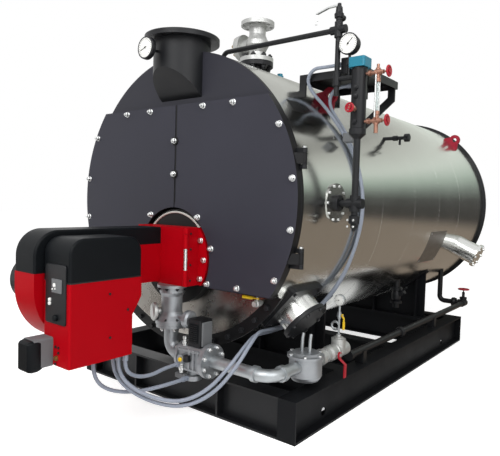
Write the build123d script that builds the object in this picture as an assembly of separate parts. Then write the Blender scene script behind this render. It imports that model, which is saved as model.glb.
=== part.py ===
from build123d import *
import math
import os

os.makedirs("parts", exist_ok=True)

# Everything is drawn in the boiler's own frame, in mm: Y runs along the shell from the front door face,
# Z is measured from the shell's axis and X is to the right of someone facing the doors.
# export_node moves each piece to the shared frame: floor at Z 0, middle of the skid at X 0, Y 0.

# Shell and smokebox
JACKET_R = 787
JACKET_WALL = 60
SHELL_LIFT = 124
SMOKEBOX_LEN = 393
CROWN_DEG = 60
WALL_PANELS = 10
PANEL_JOINT = 0.6
SHELL_LEN = 2675
RIM_T = 20
RIM_LAND = 52
REAR_LAP = 24
REAR_T = 14
REAR_COVER_IN = 227
REAR_COVER_T = 26
TUBE_SHEET_T = 25
TUBE_R = 32
TUBE_PITCH = 92
THROAT_R = 256
THROAT_WALL = 12
THROAT_PLATE_T = 16
THROAT_BORE_R = 150
BURNER_Z = -306

# Doors
DOOR_LAP = 3
DOOR_T = 31
DOOR_SKIN = 8
DOOR_LIP = 16
DOOR_GAP = 6
DOOR_SEAM = 6
DOOR_TOP = 505
DOOR_BOTTOM = -445
DOOR_CUT_CLEAR = 10
HINGE_IN = 5
HINGE_BACK = 13
HINGE_ZS = (205, -252)
HINGE_PIN_R = 8
HINGE_EYE_R = 14
HINGE_EYE_H = 50
HINGE_RUN = 0.06
HINGE_END_GAP = 2
HINGE_LUG_H = 20
STRAP_T = 18
STRAP_IN = 30
STRAP_Y = 6

# Lower front
LOWER_RING_T = 15
LOWER_RING_W = 64
LOWER_RING_LAP = 19
LOWER_SET_BACK = 38
FLOOR_T = 12

# Skid
BEAM_H = 203
BEAM_W = 102
BEAM_WEB = 7
BEAM_FLANGE = 11
SKID_HALF = 804
SKID_FRONT = 24
SKID_LEN = 2530
SKID_HOLE_R = 22
SKID_HOLE_UP = 48
SKID_HOLE_IN = 340
SADDLE_IN_FRONT = 596
SADDLE_IN_REAR = 314
SADDLE_WEB = 20
SADDLE_HALF = 600
SADDLE_PAD_T = 12
SADDLE_PAD_W = 180
SADDLE_BASE_T = 16
SADDLE_RIB_X = (-540, -180, 180, 540)
SADDLE_RIB_T = 14
STIFFENER_T = 12
STIFFENER_X = 320
END_PLATE_T = 8

# Flue
FLUE_R = 152
FLUE_WALL = 6
FLUE_Y = 36
FLUE_RISE = 73
FLUE_RIM_R = 200
FLUE_RIM_T = 25
FLUE_SEAT_LEN = 150
FLUE_SEAT_STEP = 2
FLUE_FOOT_UP = 35
FLUE_MITRE_DEG = 43
DIAL_R = 57
DIAL_DROP = 95

# Top fittings
STEAM_SET_BACK = 240
STEAM_FLANGE_R = 105
STEAM_FLANGE_T = 28
STEAM_PIPE_R = 57
STEAM_BORE_R = 40
STEAM_PCD = 168.3
STEAM_BOLTS = 8
STEAM_HOLE_R = 11
STEAM_RISE = 93
STEAM_VALVE_H = 250
HEADER_IN_FRONT = 95
HEADER_R = 13.4
HEADER_RISE = 75
HEADER_IN = 21
HEADER_BEND = 40
BRANCH_DROP = 242
GAUGE_R = 52
GAUGE_GAP = 1
GAUGE_DROP = 82
VENT_SET_BACK = 500

# Water column
COLUMN_OUT = 103
COLUMN_R = 36.5
COLUMN_UP = 40
COLUMN_DOWN = 278
COLUMN_PIPE_R = 16.7
COLUMN_CROSS_Z = 8
HANDHOLE_R = 98
HANDHOLE_T = 4
COLUMN_FLANGE_R = 42
COLUMN_FLANGE_T = 22
HEAD_W = 86
HEAD_H = 48
COCK_UP = 8
COCK_DOWN = 218
TRY_COCK_DOWN = 162
COCK_REACH = 58
COCK_WHEEL_R = 28
GLASS_R = 8

# Control shelf
SHELF_OUT = 98
SHELF_W = 380
SHELF_D = 410
SHELF_BEHIND = 65
SHELF_DROP = 102
SHELF_BAR = 40
SHELF_T = 5
SWITCH_W = 38
SWITCH_D = 34
SWITCH_H = 78
SWITCH_IN = 79
SHELF_BOX_IN = 75
SHELF_BOX_W = 64
SHELF_BOX_D = 58
SHELF_BOX_DROP = 78

# Lifting lugs
LUG_IN_FRONT = 165
LUG_IN_REAR = 255
LUG_ANGLE = 46
LUG_T = 20
LUG_R = 46
LUG_OUT = 52
LUG_BASE = 150
LUG_HOLE_R = 18

# Clad nozzles and shell valves
DRUM_IN_FRONT = 150
DRUM_ANGLE = -42
DRUM_R = 112
DRUM_REACH = 98
REAR_NOZZLE_IN = 505
REAR_NOZZLE_ANGLE = -24
REAR_NOZZLE_R = 84
REAR_NOZZLE_REACH = 170
COVER_T = 24
COVER_LIP = 14
COLLAR_W = 280
COLLAR_T = 14
SIDE_VALVE_BACK = 731
SIDE_VALVE_Z = 424
BLOWDOWN_BACK = 1340
BLOWDOWN_X = 540

# Burner
HOUSING_HALF = 190
HOUSING_UP = 166
HOUSING_DOWN = 134
HOUSING_DEPTH = 91
BURNER_FLANGE_R = 250
BURNER_FLANGE_T = 20
CASE_W = 160
CASE_R = 258
CASE_OUT = 450
CASE_STEP = 5
CASE_NOSE_R = 115
COVER_EDGE_R = 10
DUCT_LIFT = 10
COVER_FRONT_DROP = 185
COVER_BACK_DROP = 87
BOX_GAP = 6
BOX_W = 194
BOX_AHEAD = 217
BOX_LEN = 373
BOX_STEP = 24
BOX_HOOD_H = 181
BOX_H = 539
MOTOR_R = 120
MOTOR_LEN = 220
SERVO_W = 84
SERVO_H = 124
SERVO_D = 86

# Gas line
GAS_X = 75
GAS_AHEAD = 71
GAS_LIFT = 121
GAS_RUN_IN = 79
GAS_PIPE_R = 30.15
GAS_BEND = 76
GAS_BORE_R = 26
BLOCK_X0 = 170
BLOCK_X1 = 372
VALVE_BOSS_R = 44
FILTER_Y = 222
FILTER_R = 82
FILTER_H = 138
BALL_BEHIND = 248
TEE_BEHIND = 333
TEE_HALF = 70
LEVER_OUT = 87
LEVER_LEN = 112
COCK_LIFT = 190

# Front drain cock
DRAIN_X = 551
DRAIN_DROP = 45
DRAIN_Y = 40

# Feed line
FEED_IN = 59
FEED_LIFT = 73
FEED_R = 21.1
FEED_BORE_R = 17.5
FEED_START = 616
FEED_STOP = 325
FEED_WHEEL_R = 48
FEED_RISER_IN = 205

# Conduits
CONDUIT_R = 9
GLAND_R = 13
GLAND_LEN = 30

AXIS_Z = BEAM_H + SHELL_LIFT + JACKET_R
JACKET_IN = JACKET_R - JACKET_WALL
REAR_R = JACKET_R + REAR_LAP
REAR_COVER_R = JACKET_R - REAR_COVER_IN
RIM_Y = DOOR_T + DOOR_GAP
SMOKEBOX_Y0 = RIM_Y + RIM_T
SHEET_Y = SMOKEBOX_Y0 + SMOKEBOX_LEN
SHELL_END = SHEET_Y + SHELL_LEN
LOWER_Y = SMOKEBOX_Y0 + LOWER_SET_BACK
LOWER_RING_R = JACKET_R + LOWER_RING_LAP
DOOR_R = JACKET_R + DOOR_LAP
DOOR_CUT_R = THROAT_R + DOOR_CUT_CLEAR
HINGE_X = DOOR_R - HINGE_IN
HINGE_Y = RIM_Y + HINGE_BACK
SKID_TOP = BEAM_H - AXIS_Z
SKID_MID = SKID_FRONT + SKID_LEN / 2
BEAM_X = SKID_HALF - BEAM_W / 2
CROSS_HALF = SKID_HALF - BEAM_W
SADDLE_YS = (SKID_FRONT + SADDLE_IN_FRONT, SKID_FRONT + SKID_LEN - SADDLE_IN_REAR)
FLUE_TOP = JACKET_R + FLUE_RISE
FLUE_FOOT = DOOR_TOP + FLUE_FOOT_UP
STEAM_Y = SHEET_Y + STEAM_SET_BACK
STEAM_FACE_Z = JACKET_R + STEAM_RISE
HEADER_Y = SHEET_Y - HEADER_IN_FRONT
HEADER_X = JACKET_R - HEADER_IN
HEADER_Z = JACKET_R + HEADER_RISE
BRANCH_Z = HEADER_Z - BRANCH_DROP
GAUGE_X = HEADER_X + HEADER_R + GAUGE_R + GAUGE_GAP
GAUGE_Z = HEADER_Z - GAUGE_DROP
VENT_Y = SHEET_Y + VENT_SET_BACK
COLUMN_X = JACKET_R + COLUMN_OUT
COLUMN_Z0 = BRANCH_Z - COLUMN_DOWN
COLUMN_Z1 = BRANCH_Z + COLUMN_UP
COCK_ZS = (BRANCH_Z + COCK_UP, BRANCH_Z - COCK_DOWN)
TRY_COCK_Z = BRANCH_Z - TRY_COCK_DOWN
SHELF_X1 = JACKET_R + SHELF_OUT
SHELF_X0 = SHELF_X1 - SHELF_W
SHELF_Y0 = HEADER_Y + SHELF_BEHIND
SHELF_Y1 = SHELF_Y0 + SHELF_D
SHELF_Z = JACKET_R - SHELF_DROP
SWITCH_X0 = SHELF_X1 - SWITCH_IN - SWITCH_W
SWITCH_Z0 = SHELF_Z - SHELF_BAR + 8
SHELF_BOX_X = SHELF_X1 - SHELF_BOX_IN
SHELF_BOX_YS = (SHELF_Y0 + 90, SHELF_Y0 + 190)
LUG_YS = (SHEET_Y + LUG_IN_FRONT, SHELL_END - LUG_IN_REAR)
DRUM = (SHEET_Y - DRUM_IN_FRONT, DRUM_ANGLE, DRUM_R, DRUM_REACH)
REAR_NOZZLE = (SHELL_END - REAR_NOZZLE_IN, REAR_NOZZLE_ANGLE, REAR_NOZZLE_R, REAR_NOZZLE_REACH)
HOUSING_TOP = BURNER_Z + HOUSING_UP
HOUSING_BOTTOM = BURNER_Z - HOUSING_DOWN
HOUSING_FRONT = RIM_Y - THROAT_PLATE_T - BURNER_FLANGE_T - HOUSING_DEPTH
CASE_Y = HOUSING_FRONT - CASE_OUT
CASE_TOP = HOUSING_TOP - CASE_STEP
DUCT_BOTTOM = HOUSING_BOTTOM + DUCT_LIFT
COVER_EDGE_FRONT = CASE_TOP - COVER_FRONT_DROP
COVER_EDGE_BACK = CASE_TOP - COVER_BACK_DROP
BOX_FRONT = CASE_Y - BOX_AHEAD
BOX_BACK = BOX_FRONT + BOX_LEN
BOX_TOP = CASE_TOP - BOX_STEP
BOX_EDGE = BOX_TOP - BOX_HOOD_H
BOX_BOTTOM = BOX_TOP - BOX_H
GAS_Y = RIM_Y - THROAT_PLATE_T - BURNER_FLANGE_T - GAS_AHEAD
GAS_Z = SKID_TOP + GAS_LIFT
GAS_RUN_X = SKID_HALF - GAS_RUN_IN
BALL_Y = FILTER_Y + BALL_BEHIND
TEE_Y = FILTER_Y + TEE_BEHIND
TEE_END = TEE_Y + TEE_HALF
LEVER_X = GAS_RUN_X + LEVER_OUT
COCK_Z = GAS_Z + COCK_LIFT
DRAIN_Z = DOOR_BOTTOM - DRAIN_DROP
FEED_X = SKID_HALF - FEED_IN
FEED_Z = SKID_TOP + FEED_LIFT
FEED_Y0 = SKID_FRONT + FEED_START
FEED_Y1 = SHELL_END - FEED_STOP
PLACE = Location((0, -SKID_MID, AXIS_Z))


def export_node(shape, name):
    export_step(shape.moved(PLACE), f"parts/{name}.step")


def along_y(sketch, y0, y1):
    return extrude(Plane.XZ.offset(-y0) * sketch, amount=y0 - y1)


def along_x(sketch, x0, x1):
    return extrude(Plane.YZ.offset(x0) * sketch, amount=x1 - x0)


def along_z(sketch, z0, z1):
    return extrude(Plane.XY.offset(z0) * sketch, amount=z1 - z0)


def rod(start, end, radius):
    a = Vector(*start)
    b = Vector(*end)
    length = (b - a).length
    return Plane(origin=a, z_dir=b - a) * Cylinder(
        radius, length, align=(Align.CENTER, Align.CENTER, Align.MIN)
    )


def turned(origin, direction, profile):
    line = Polyline([(0, profile[0][1])] + list(profile) + [(0, profile[-1][1])], close=True)
    body = revolve(Plane.XZ * make_face(line), Axis.Z)
    return Plane(origin=origin, z_dir=direction) * body


def block(x0, x1, y0, y1, z0, z1):
    return Pos((x0 + x1) / 2, (y0 + y1) / 2, (z0 + z1) / 2) * Box(x1 - x0, y1 - y0, z1 - z0)


def bent_pipe(points, radius, bend):
    path = FilletPolyline(*points, radius=bend)
    start = Plane(origin=path @ 0, z_dir=path % 0)
    return sweep(start * Circle(radius), path=path)


def shell_below(x):
    return -math.sqrt(JACKET_R**2 - x**2)


def shell_side(z):
    return math.sqrt(JACKET_R**2 - z**2)


def shell_solid(radius=JACKET_R):
    return along_y(Circle(radius), 0, SHELL_END + REAR_T)


def half_plane(z0, z1, half=1000):
    return Pos(0, (z0 + z1) / 2) * Rectangle(2 * half, z1 - z0)


def radial(angle):
    a = math.radians(angle)
    return Vector(math.cos(a), 0, math.sin(a))


def i_section():
    flute = (BEAM_W - BEAM_WEB) / 2
    outline = Rectangle(BEAM_W, BEAM_H)
    for side in (-1, 1):
        outline -= Pos(side * (BEAM_W - flute) / 2, 0) * Rectangle(flute, BEAM_H - 2 * BEAM_FLANGE)
    return Pos(0, SKID_TOP - BEAM_H / 2) * outline


def beam_across(y):
    return along_x(Pos(y, 0) * i_section(), -CROSS_HALF, CROSS_HALF)


def skid_side_beams():
    beams = []
    for side in (-1, 1):
        beam = along_y(Pos(side * BEAM_X, 0) * i_section(), SKID_FRONT, SKID_FRONT + SKID_LEN)
        for y in (SKID_FRONT + SKID_HOLE_IN, SKID_FRONT + SKID_LEN - SKID_HOLE_IN):
            z = SKID_TOP - BEAM_H + SKID_HOLE_UP
            beam -= rod((side * BEAM_X - BEAM_W, y, z), (side * BEAM_X + BEAM_W, y, z), SKID_HOLE_R)
        for y in (SKID_FRONT, SKID_FRONT + SKID_LEN - END_PLATE_T):
            beam += block(side * BEAM_X - BEAM_W / 2, side * BEAM_X + BEAM_W / 2, y, y + END_PLATE_T,
                          SKID_TOP - BEAM_H, SKID_TOP)
        beams.append(beam)
    return Compound(beams)


def skid_front_beam():
    beam = beam_across(SKID_FRONT + BEAM_W / 2)
    z0 = SKID_TOP - BEAM_H + BEAM_FLANGE
    for x in (-STIFFENER_X, STIFFENER_X):
        beam += block(x - STIFFENER_T / 2, x + STIFFENER_T / 2, SKID_FRONT, SKID_FRONT + BEAM_W / 2,
                      z0, SKID_TOP - BEAM_FLANGE)
    return beam


def skid_cross_beams():
    ys = list(SADDLE_YS) + [SKID_MID, SKID_FRONT + SKID_LEN - BEAM_W / 2]
    return Compound([beam_across(y) for y in ys])


def saddle(y):
    cradle_r = JACKET_R + SADDLE_PAD_T
    base = SKID_TOP + SADDLE_BASE_T
    web = Pos(0, (base - DOOR_R / 2) / 2) * Rectangle(2 * SADDLE_HALF, -DOOR_R / 2 - base)
    part = along_y(web - Circle(cradle_r), y - SADDLE_WEB / 2, y + SADDLE_WEB / 2)
    pad = Circle(cradle_r) - Circle(JACKET_R)
    pad &= half_plane(-cradle_r, -math.sqrt(cradle_r**2 - SADDLE_HALF**2))
    part += along_y(pad, y - SADDLE_PAD_W / 2, y + SADDLE_PAD_W / 2)
    part += block(-SADDLE_HALF, SADDLE_HALF, y - BEAM_W / 2, y + BEAM_W / 2, SKID_TOP, base)
    for x in SADDLE_RIB_X:
        rib = block(x - SADDLE_RIB_T / 2, x + SADDLE_RIB_T / 2, y - BEAM_W / 2, y + BEAM_W / 2, base, -DOOR_R / 2)
        part += rib - shell_solid(cradle_r)
    return part


def shell_jacket():
    return along_y(Circle(JACKET_R) - Circle(JACKET_IN), SHEET_Y, SHELL_END)


def flue_outer(grow=0):
    return Pos(0, FLUE_Y, 0) * along_z(Circle(FLUE_R + grow), FLUE_FOOT, FLUE_TOP)


def wedge(start, stop):
    far = [radial(angle) * 2 * JACKET_R for angle in (start, stop)]
    return make_face(Polyline((0, 0), *[(corner.X, corner.Z) for corner in far], close=True))


# The insulated wall is laid up in curved panels: a crown round the flue, then equal panels down to the floor.
def smokebox_wall():
    wall = along_y(Circle(JACKET_R) - Circle(JACKET_IN), SMOKEBOX_Y0, SHEET_Y)
    wall -= block(-DOOR_R, DOOR_R, SMOKEBOX_Y0, LOWER_Y, -DOOR_R, DOOR_BOTTOM - FLOOR_T)
    wall -= flue_outer()
    floor = Circle(JACKET_IN - PANEL_JOINT) & half_plane(DOOR_BOTTOM - FLOOR_T, DOOR_BOTTOM)
    floor -= Pos(0, BURNER_Z) * Circle(THROAT_R)
    solids = list(along_y(floor, SMOKEBOX_Y0, SHEET_Y).solids())
    crown_end = 90 + CROWN_DEG / 2
    step = (360 - CROWN_DEG) / WALL_PANELS
    turns = [90 - CROWN_DEG / 2] + [crown_end + step * k for k in range(WALL_PANELS + 1)]
    joint = math.degrees(PANEL_JOINT / 2 / JACKET_R)
    for start, stop in zip(turns, turns[1:]):
        panel = wall & along_y(wedge(start + joint, stop - joint), SMOKEBOX_Y0, SHEET_Y)
        solids += list(panel.solids())
    return Compound(solids)


def smokebox_front():
    frame = Circle(JACKET_R) & half_plane(DOOR_BOTTOM - FLOOR_T, DOOR_R)
    frame -= Circle(JACKET_R - RIM_LAND) & half_plane(DOOR_BOTTOM + FLOOR_T, DOOR_TOP - FLOOR_T)
    frame -= Pos(0, BURNER_Z) * Circle(DOOR_CUT_R)
    plate = along_y(frame, RIM_Y, SMOKEBOX_Y0) - flue_outer()
    plate -= block(-FLUE_R, FLUE_R, 0, SHEET_Y, FLUE_FOOT + FLUE_R, FLUE_TOP)
    ring = Circle(LOWER_RING_R) - Circle(LOWER_RING_R - LOWER_RING_W)
    ring &= half_plane(-LOWER_RING_R, DOOR_BOTTOM - FLOOR_T)
    return Compound([plate, along_y(ring, LOWER_Y - LOWER_RING_T, LOWER_Y)])


def lower_front_panel():
    panel = Circle(LOWER_RING_R - LOWER_RING_W) & half_plane(-LOWER_RING_R, DOOR_BOTTOM - FLOOR_T)
    panel -= Pos(0, BURNER_Z) * Circle(THROAT_R)
    return along_y(panel, LOWER_Y - LOWER_RING_T, LOWER_Y)


def tube_spots():
    spots = []
    rows = int(JACKET_IN / (TUBE_PITCH * 0.866))
    for row in range(-rows, rows + 1):
        shift = TUBE_PITCH / 2 if row % 2 else 0
        for col in range(-8, 9):
            x = col * TUBE_PITCH + shift
            z = row * TUBE_PITCH * 0.866
            inside = math.hypot(x, z) < JACKET_IN - 2.4 * TUBE_R
            clear = math.hypot(x, z - BURNER_Z) > THROAT_R + 2.2 * TUBE_R
            if inside and clear and DOOR_BOTTOM + 2 * TUBE_R < z < DOOR_TOP - 2 * TUBE_R:
                spots.append((x, z))
    return spots


def tube_sheet():
    holes = Sketch() + [Pos(x, z) * Circle(TUBE_R) for x, z in tube_spots()]
    return along_y(Circle(JACKET_IN) - holes, SHEET_Y, SHEET_Y + TUBE_SHEET_T)


def furnace_throat():
    wall = Circle(THROAT_R) - Circle(THROAT_R - THROAT_WALL)
    throat = along_y(Pos(0, BURNER_Z) * wall, RIM_Y - THROAT_PLATE_T, SHEET_Y)
    plate = Circle(THROAT_R) - Circle(THROAT_BORE_R)
    return throat + along_y(Pos(0, BURNER_Z) * plate, RIM_Y - THROAT_PLATE_T, RIM_Y)


def door_outline(inset):
    outline = Circle(DOOR_R - inset) & half_plane(DOOR_BOTTOM + inset, DOOR_TOP - inset)
    left = DOOR_SEAM / 2 + inset
    outline &= Pos(left + DOOR_R / 2, 0) * Rectangle(DOOR_R, 2 * DOOR_R)
    return outline - Pos(0, BURNER_Z) * Circle(DOOR_CUT_R + inset)


def door_edge_x(z):
    return math.sqrt(DOOR_R**2 - z**2)


def right_door():
    door = along_y(door_outline(0), 0, DOOR_T)
    door -= along_y(door_outline(DOOR_LIP), DOOR_SKIN, DOOR_T)
    for z in HINGE_ZS:
        half = HINGE_EYE_H / 2
        edge = door_edge_x(z)
        y1 = STRAP_Y + STRAP_T
        strap = Polyline((edge - STRAP_IN, STRAP_Y), (edge - 5, STRAP_Y), (HINGE_X + 10, HINGE_Y - 6),
                         (HINGE_X + 10, HINGE_Y), (HINGE_X - 9, HINGE_Y), (HINGE_X - 9, y1 + 9), (HINGE_X - 18, y1),
                         (edge - STRAP_IN, y1), close=True)
        door += along_z(make_face(strap), z - half, z + half)
        door += rod((HINGE_X, HINGE_Y, z - half), (HINGE_X, HINGE_Y, z + half), HINGE_EYE_R)
        door -= rod((HINGE_X, HINGE_Y, z - half), (HINGE_X, HINGE_Y, z + half), HINGE_PIN_R + HINGE_RUN)
    return door


def hinge_set(side):
    parts = []
    for z in HINGE_ZS:
        reach = HINGE_EYE_H / 2 + HINGE_END_GAP
        pin = rod((HINGE_X, HINGE_Y, z - reach - HINGE_LUG_H), (HINGE_X, HINGE_Y, z + reach + HINGE_LUG_H),
                  HINGE_PIN_R)
        for way in (-1, 1):
            z0 = z + way * reach
            z1 = z0 + way * HINGE_LUG_H
            eye = rod((HINGE_X, HINGE_Y, z0), (HINGE_X, HINGE_Y, z1), HINGE_EYE_R)
            lug = block(HINGE_X - 90, HINGE_X, RIM_Y, SMOKEBOX_Y0, min(z0, z1), max(z0, z1))
            pin += (eye + lug) - along_y(Circle(JACKET_R), 0, SHEET_Y)
        parts.append(pin if side > 0 else mirror(pin, Plane.YZ))
    return parts


def rear_head():
    head = along_y(Circle(REAR_R), SHELL_END, SHELL_END + REAR_T)
    head += along_y(Circle(REAR_COVER_R), SHELL_END + REAR_T, SHELL_END + REAR_T + REAR_COVER_T)
    return head


def flue_stack():
    seat = FLUE_R - FLUE_WALL
    pipe = flue_outer() - Pos(0, FLUE_Y, 0) * along_z(Circle(seat), FLUE_TOP - FLUE_SEAT_LEN, FLUE_TOP)
    pipe -= Pos(0, FLUE_Y, 0) * along_z(Circle(seat - FLUE_SEAT_STEP), FLUE_FOOT, FLUE_TOP)
    rim = Circle(FLUE_RIM_R) - Circle(seat)
    pipe += Pos(0, FLUE_Y, 0) * along_z(rim, FLUE_TOP - FLUE_RIM_T, FLUE_TOP)
    slope = math.tan(math.radians(FLUE_MITRE_DEG))
    front = FLUE_Y - FLUE_R
    reach = 2 * FLUE_R
    cut = Polyline((RIM_Y, FLUE_FOOT), (RIM_Y - reach, FLUE_FOOT + slope * reach),
                   (RIM_Y - reach, FLUE_FOOT - 10), (RIM_Y, FLUE_FOOT - 10), close=True)
    pipe -= along_x(make_face(cut), -FLUE_RIM_R, FLUE_RIM_R)
    lift = FLUE_WALL / math.cos(math.radians(FLUE_MITRE_DEG))
    skin = Polyline((RIM_Y, FLUE_FOOT), (front, FLUE_FOOT + slope * (RIM_Y - front)),
                    (front, FLUE_FOOT + slope * (RIM_Y - front) + lift), (RIM_Y, FLUE_FOOT + lift), close=True)
    pipe += along_x(make_face(skin), -FLUE_R, FLUE_R) & flue_outer()
    return pipe


def flue_thermometer():
    y = FLUE_Y - FLUE_R
    x = -30
    z = FLUE_TOP - DIAL_DROP
    dial = turned((x, y - 52, z), (0, -1, 0), [(DIAL_R - 6, 0), (DIAL_R, 4), (DIAL_R, 22), (DIAL_R - 4, 26)])
    stem = rod((x, y + 20, z), (x, y - 52, z), 7) + rod((x, y - 28, z), (x, y - 52, z), 13)
    return dial + (stem - flue_outer())


def steam_piping():
    nozzle = turned((0, STEAM_Y, JACKET_R - 60), (0, 0, 1),
                    [(STEAM_PIPE_R, 0), (STEAM_PIPE_R, STEAM_FACE_Z - STEAM_FLANGE_T - JACKET_R + 60),
                     (STEAM_FLANGE_R, STEAM_FACE_Z - STEAM_FLANGE_T - JACKET_R + 60),
                     (STEAM_FLANGE_R, STEAM_FACE_Z - JACKET_R + 60)])
    nozzle -= shell_solid()
    run = bent_pipe([(10, HEADER_Y, JACKET_R - 40), (10, HEADER_Y, HEADER_Z), (HEADER_X, HEADER_Y, HEADER_Z)],
                    HEADER_R, HEADER_BEND)
    run -= shell_solid()
    run += rod((HEADER_X, HEADER_Y, BRANCH_Z - 80), (HEADER_X, HEADER_Y, HEADER_Z + 46), HEADER_R)
    run += rod((HEADER_X - 42, HEADER_Y, HEADER_Z), (HEADER_X + 42, HEADER_Y, HEADER_Z), HEADER_R + 7)
    run += rod((HEADER_X, HEADER_Y, HEADER_Z - 38), (HEADER_X, HEADER_Y, HEADER_Z + 38), HEADER_R + 7)
    run += rod((HEADER_X, HEADER_Y, BRANCH_Z - 34), (HEADER_X, HEADER_Y, BRANCH_Z + 34), HEADER_R + 7)
    run += rod((HEADER_X, HEADER_Y, BRANCH_Z), (COLUMN_X, HEADER_Y, BRANCH_Z), HEADER_R)
    run -= rod((COLUMN_X, HEADER_Y, COLUMN_Z0), (COLUMN_X, HEADER_Y, COLUMN_Z1), COLUMN_R)
    return Compound([nozzle, run])


def steam_valve():
    t = STEAM_FLANGE_T - 3
    h = STEAM_VALVE_H
    body = turned((0, STEAM_Y, STEAM_FACE_Z), (0, 0, 1),
                  [(STEAM_FLANGE_R, 0), (STEAM_FLANGE_R, t), (54, t + 6), (52, 62), (62, 84), (74, 105),
                   (70, 132), (58, 156), (52, 172), (52, h - t - 8), (62, h - t), (STEAM_FLANGE_R, h - t),
                   (STEAM_FLANGE_R, h)])
    z = STEAM_FACE_Z + 108
    body += turned((0, STEAM_Y, z), (-1, 0, 0), [(50, 0), (50, 96), (82, 96), (82, 116), (78, 118), (78, 138),
                                                 (40, 146), (36, 158)])
    body -= rod((0, STEAM_Y, STEAM_FACE_Z), (0, STEAM_Y, STEAM_FACE_Z + h), STEAM_BORE_R)
    holes = Sketch() + [spot * Circle(STEAM_HOLE_R) for spot in PolarLocations(STEAM_PCD / 2, STEAM_BOLTS)]
    return body - Pos(0, STEAM_Y, 0) * along_z(holes, STEAM_FACE_Z + h - t, STEAM_FACE_Z + h)


def safety_valve():
    z = HEADER_Z + 46
    body = turned((HEADER_X, HEADER_Y, z), (0, 0, 1),
                  [(15, 0), (15, 10), (22, 12), (24, 30), (18, 38), (16, 62), (11, 68), (9, 82)])
    return body + rod((HEADER_X, HEADER_Y, z + 22), (HEADER_X, HEADER_Y + 46, z + 22), 15)


def safety_lever():
    z = HEADER_Z + 46
    lever = Polyline((HEADER_X + 6, z + 80), (HEADER_X - 60, z + 76), (HEADER_X - 130, z + 56),
                     (HEADER_X - 130, z + 50), (HEADER_X - 60, z + 69), (HEADER_X + 6, z + 70), close=True)
    return along_y(make_face(lever), HEADER_Y - 7, HEADER_Y + 7) - safety_valve()


def pressure_gauge():
    case = turned((GAUGE_X, HEADER_Y - 22, GAUGE_Z), (0, 1, 0),
                  [(GAUGE_R - 3, 0), (GAUGE_R, 3), (GAUGE_R, 12), (GAUGE_R - 5, 15), (GAUGE_R - 5, 42),
                   (GAUGE_R - 12, 48)])
    stem = rod((GAUGE_X, HEADER_Y, BRANCH_Z), (GAUGE_X, HEADER_Y, GAUGE_Z - GAUGE_R + 12), 7)
    stem += rod((GAUGE_X, HEADER_Y, BRANCH_Z + 60), (GAUGE_X, HEADER_Y, BRANCH_Z + 90), 12)
    return case + (stem - rod((HEADER_X, HEADER_Y, BRANCH_Z), (COLUMN_X, HEADER_Y, BRANCH_Z), HEADER_R))


def water_column():
    x = COLUMN_X
    y = HEADER_Y
    p = COLUMN_PIPE_R
    z0 = COLUMN_Z0
    col = turned((x, y, COLUMN_CROSS_Z), (0, 0, 1),
                 [(p, 0), (p, z0 - 22 - COLUMN_CROSS_Z), (COLUMN_R + 4, z0 - COLUMN_CROSS_Z),
                  (COLUMN_R + 4, z0 + 26 - COLUMN_CROSS_Z), (COLUMN_R, z0 + 30 - COLUMN_CROSS_Z),
                  (COLUMN_R, COLUMN_Z1 - COLUMN_CROSS_Z)])
    c = COLUMN_CROSS_Z
    col += rod((x, y, c - 40), (x, y, c + 40), p + 8)
    face = JACKET_R + HANDHOLE_T
    col += turned((face, y, c), (1, 0, 0), [(COLUMN_FLANGE_R, 0), (COLUMN_FLANGE_R, COLUMN_FLANGE_T - 3),
                                            (COLUMN_FLANGE_R - 3, COLUMN_FLANGE_T), (p, COLUMN_FLANGE_T),
                                            (p, x - face)])
    col += rod((x - 40, y, c), (x + 44, y, c), p + 8)
    col += turned((x, y, c - 136), (0, 0, 1), [(10, 0), (10, 14), (p, 16), (p, 34), (p + 10, 40), (p + 10, 74),
                                               (p, 80), (p, 110)])
    return col


def handhole_pad():
    c = COLUMN_CROSS_Z
    pad = rod((JACKET_R - 30, HEADER_Y, c), (JACKET_R + HANDHOLE_T, HEADER_Y, c), HANDHOLE_R)
    return pad - shell_solid()


def column_head():
    base = RectangleRounded(HEAD_W, HEAD_W, 12)
    head = Pos(COLUMN_X, HEADER_Y, 0) * along_z(base, COLUMN_Z1, COLUMN_Z1 + HEAD_H)
    return fillet(head.faces().sort_by(Axis.Z)[-1].edges(), 6)


def gauge_cocks():
    y = HEADER_Y
    x0 = COLUMN_X + COLUMN_R - 4
    x1 = COLUMN_X + COLUMN_R + COCK_REACH
    part = Part()
    for z in COCK_ZS:
        part += turned((x0, y, z), (1, 0, 0),
                       [(8, 0), (8, 14), (14, 16), (14, 28), (9, 30), (9, 44), (15, 48), (15, 76), (10, 80),
                        (10, 92), (5, 94), (5, 122)])
        way = -1 if z == COCK_ZS[0] else 1
        part += turned((x1, y, z), (0, 0, way), [(12, 0), (12, 26), (14, 28), (14, 44), (11, 46)])
        part += turned((x1, y, z), (0, 0, -way), [(11, 0), (11, 20), (7, 22), (7, 38)])
    part += rod((x1, y, COCK_ZS[1] - 58), (x1, y, COCK_ZS[1]), 10)
    for dy in (-22, 22):
        part += rod((x1, y + dy, COCK_ZS[1] + 6), (x1, y + dy, COCK_ZS[0] - 6), 3)
        for z in (COCK_ZS[1] + 10, COCK_ZS[0] - 10):
            part += rod((x1, y, z), (x1, y + dy, z), 4)
    part += turned((COLUMN_X, y - COLUMN_R + 4, TRY_COCK_Z), (0, -1, 0),
                   [(9, 0), (9, 16), (15, 18), (15, 32), (8, 34), (8, 48), (4, 50), (4, 66)])
    part -= rod((COLUMN_X, y, COLUMN_Z0), (COLUMN_X, y, COLUMN_Z1), COLUMN_R)
    return part - rod((x1, y, COCK_ZS[1] + 30), (x1, y, COCK_ZS[0] - 30), GLASS_R)


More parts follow.
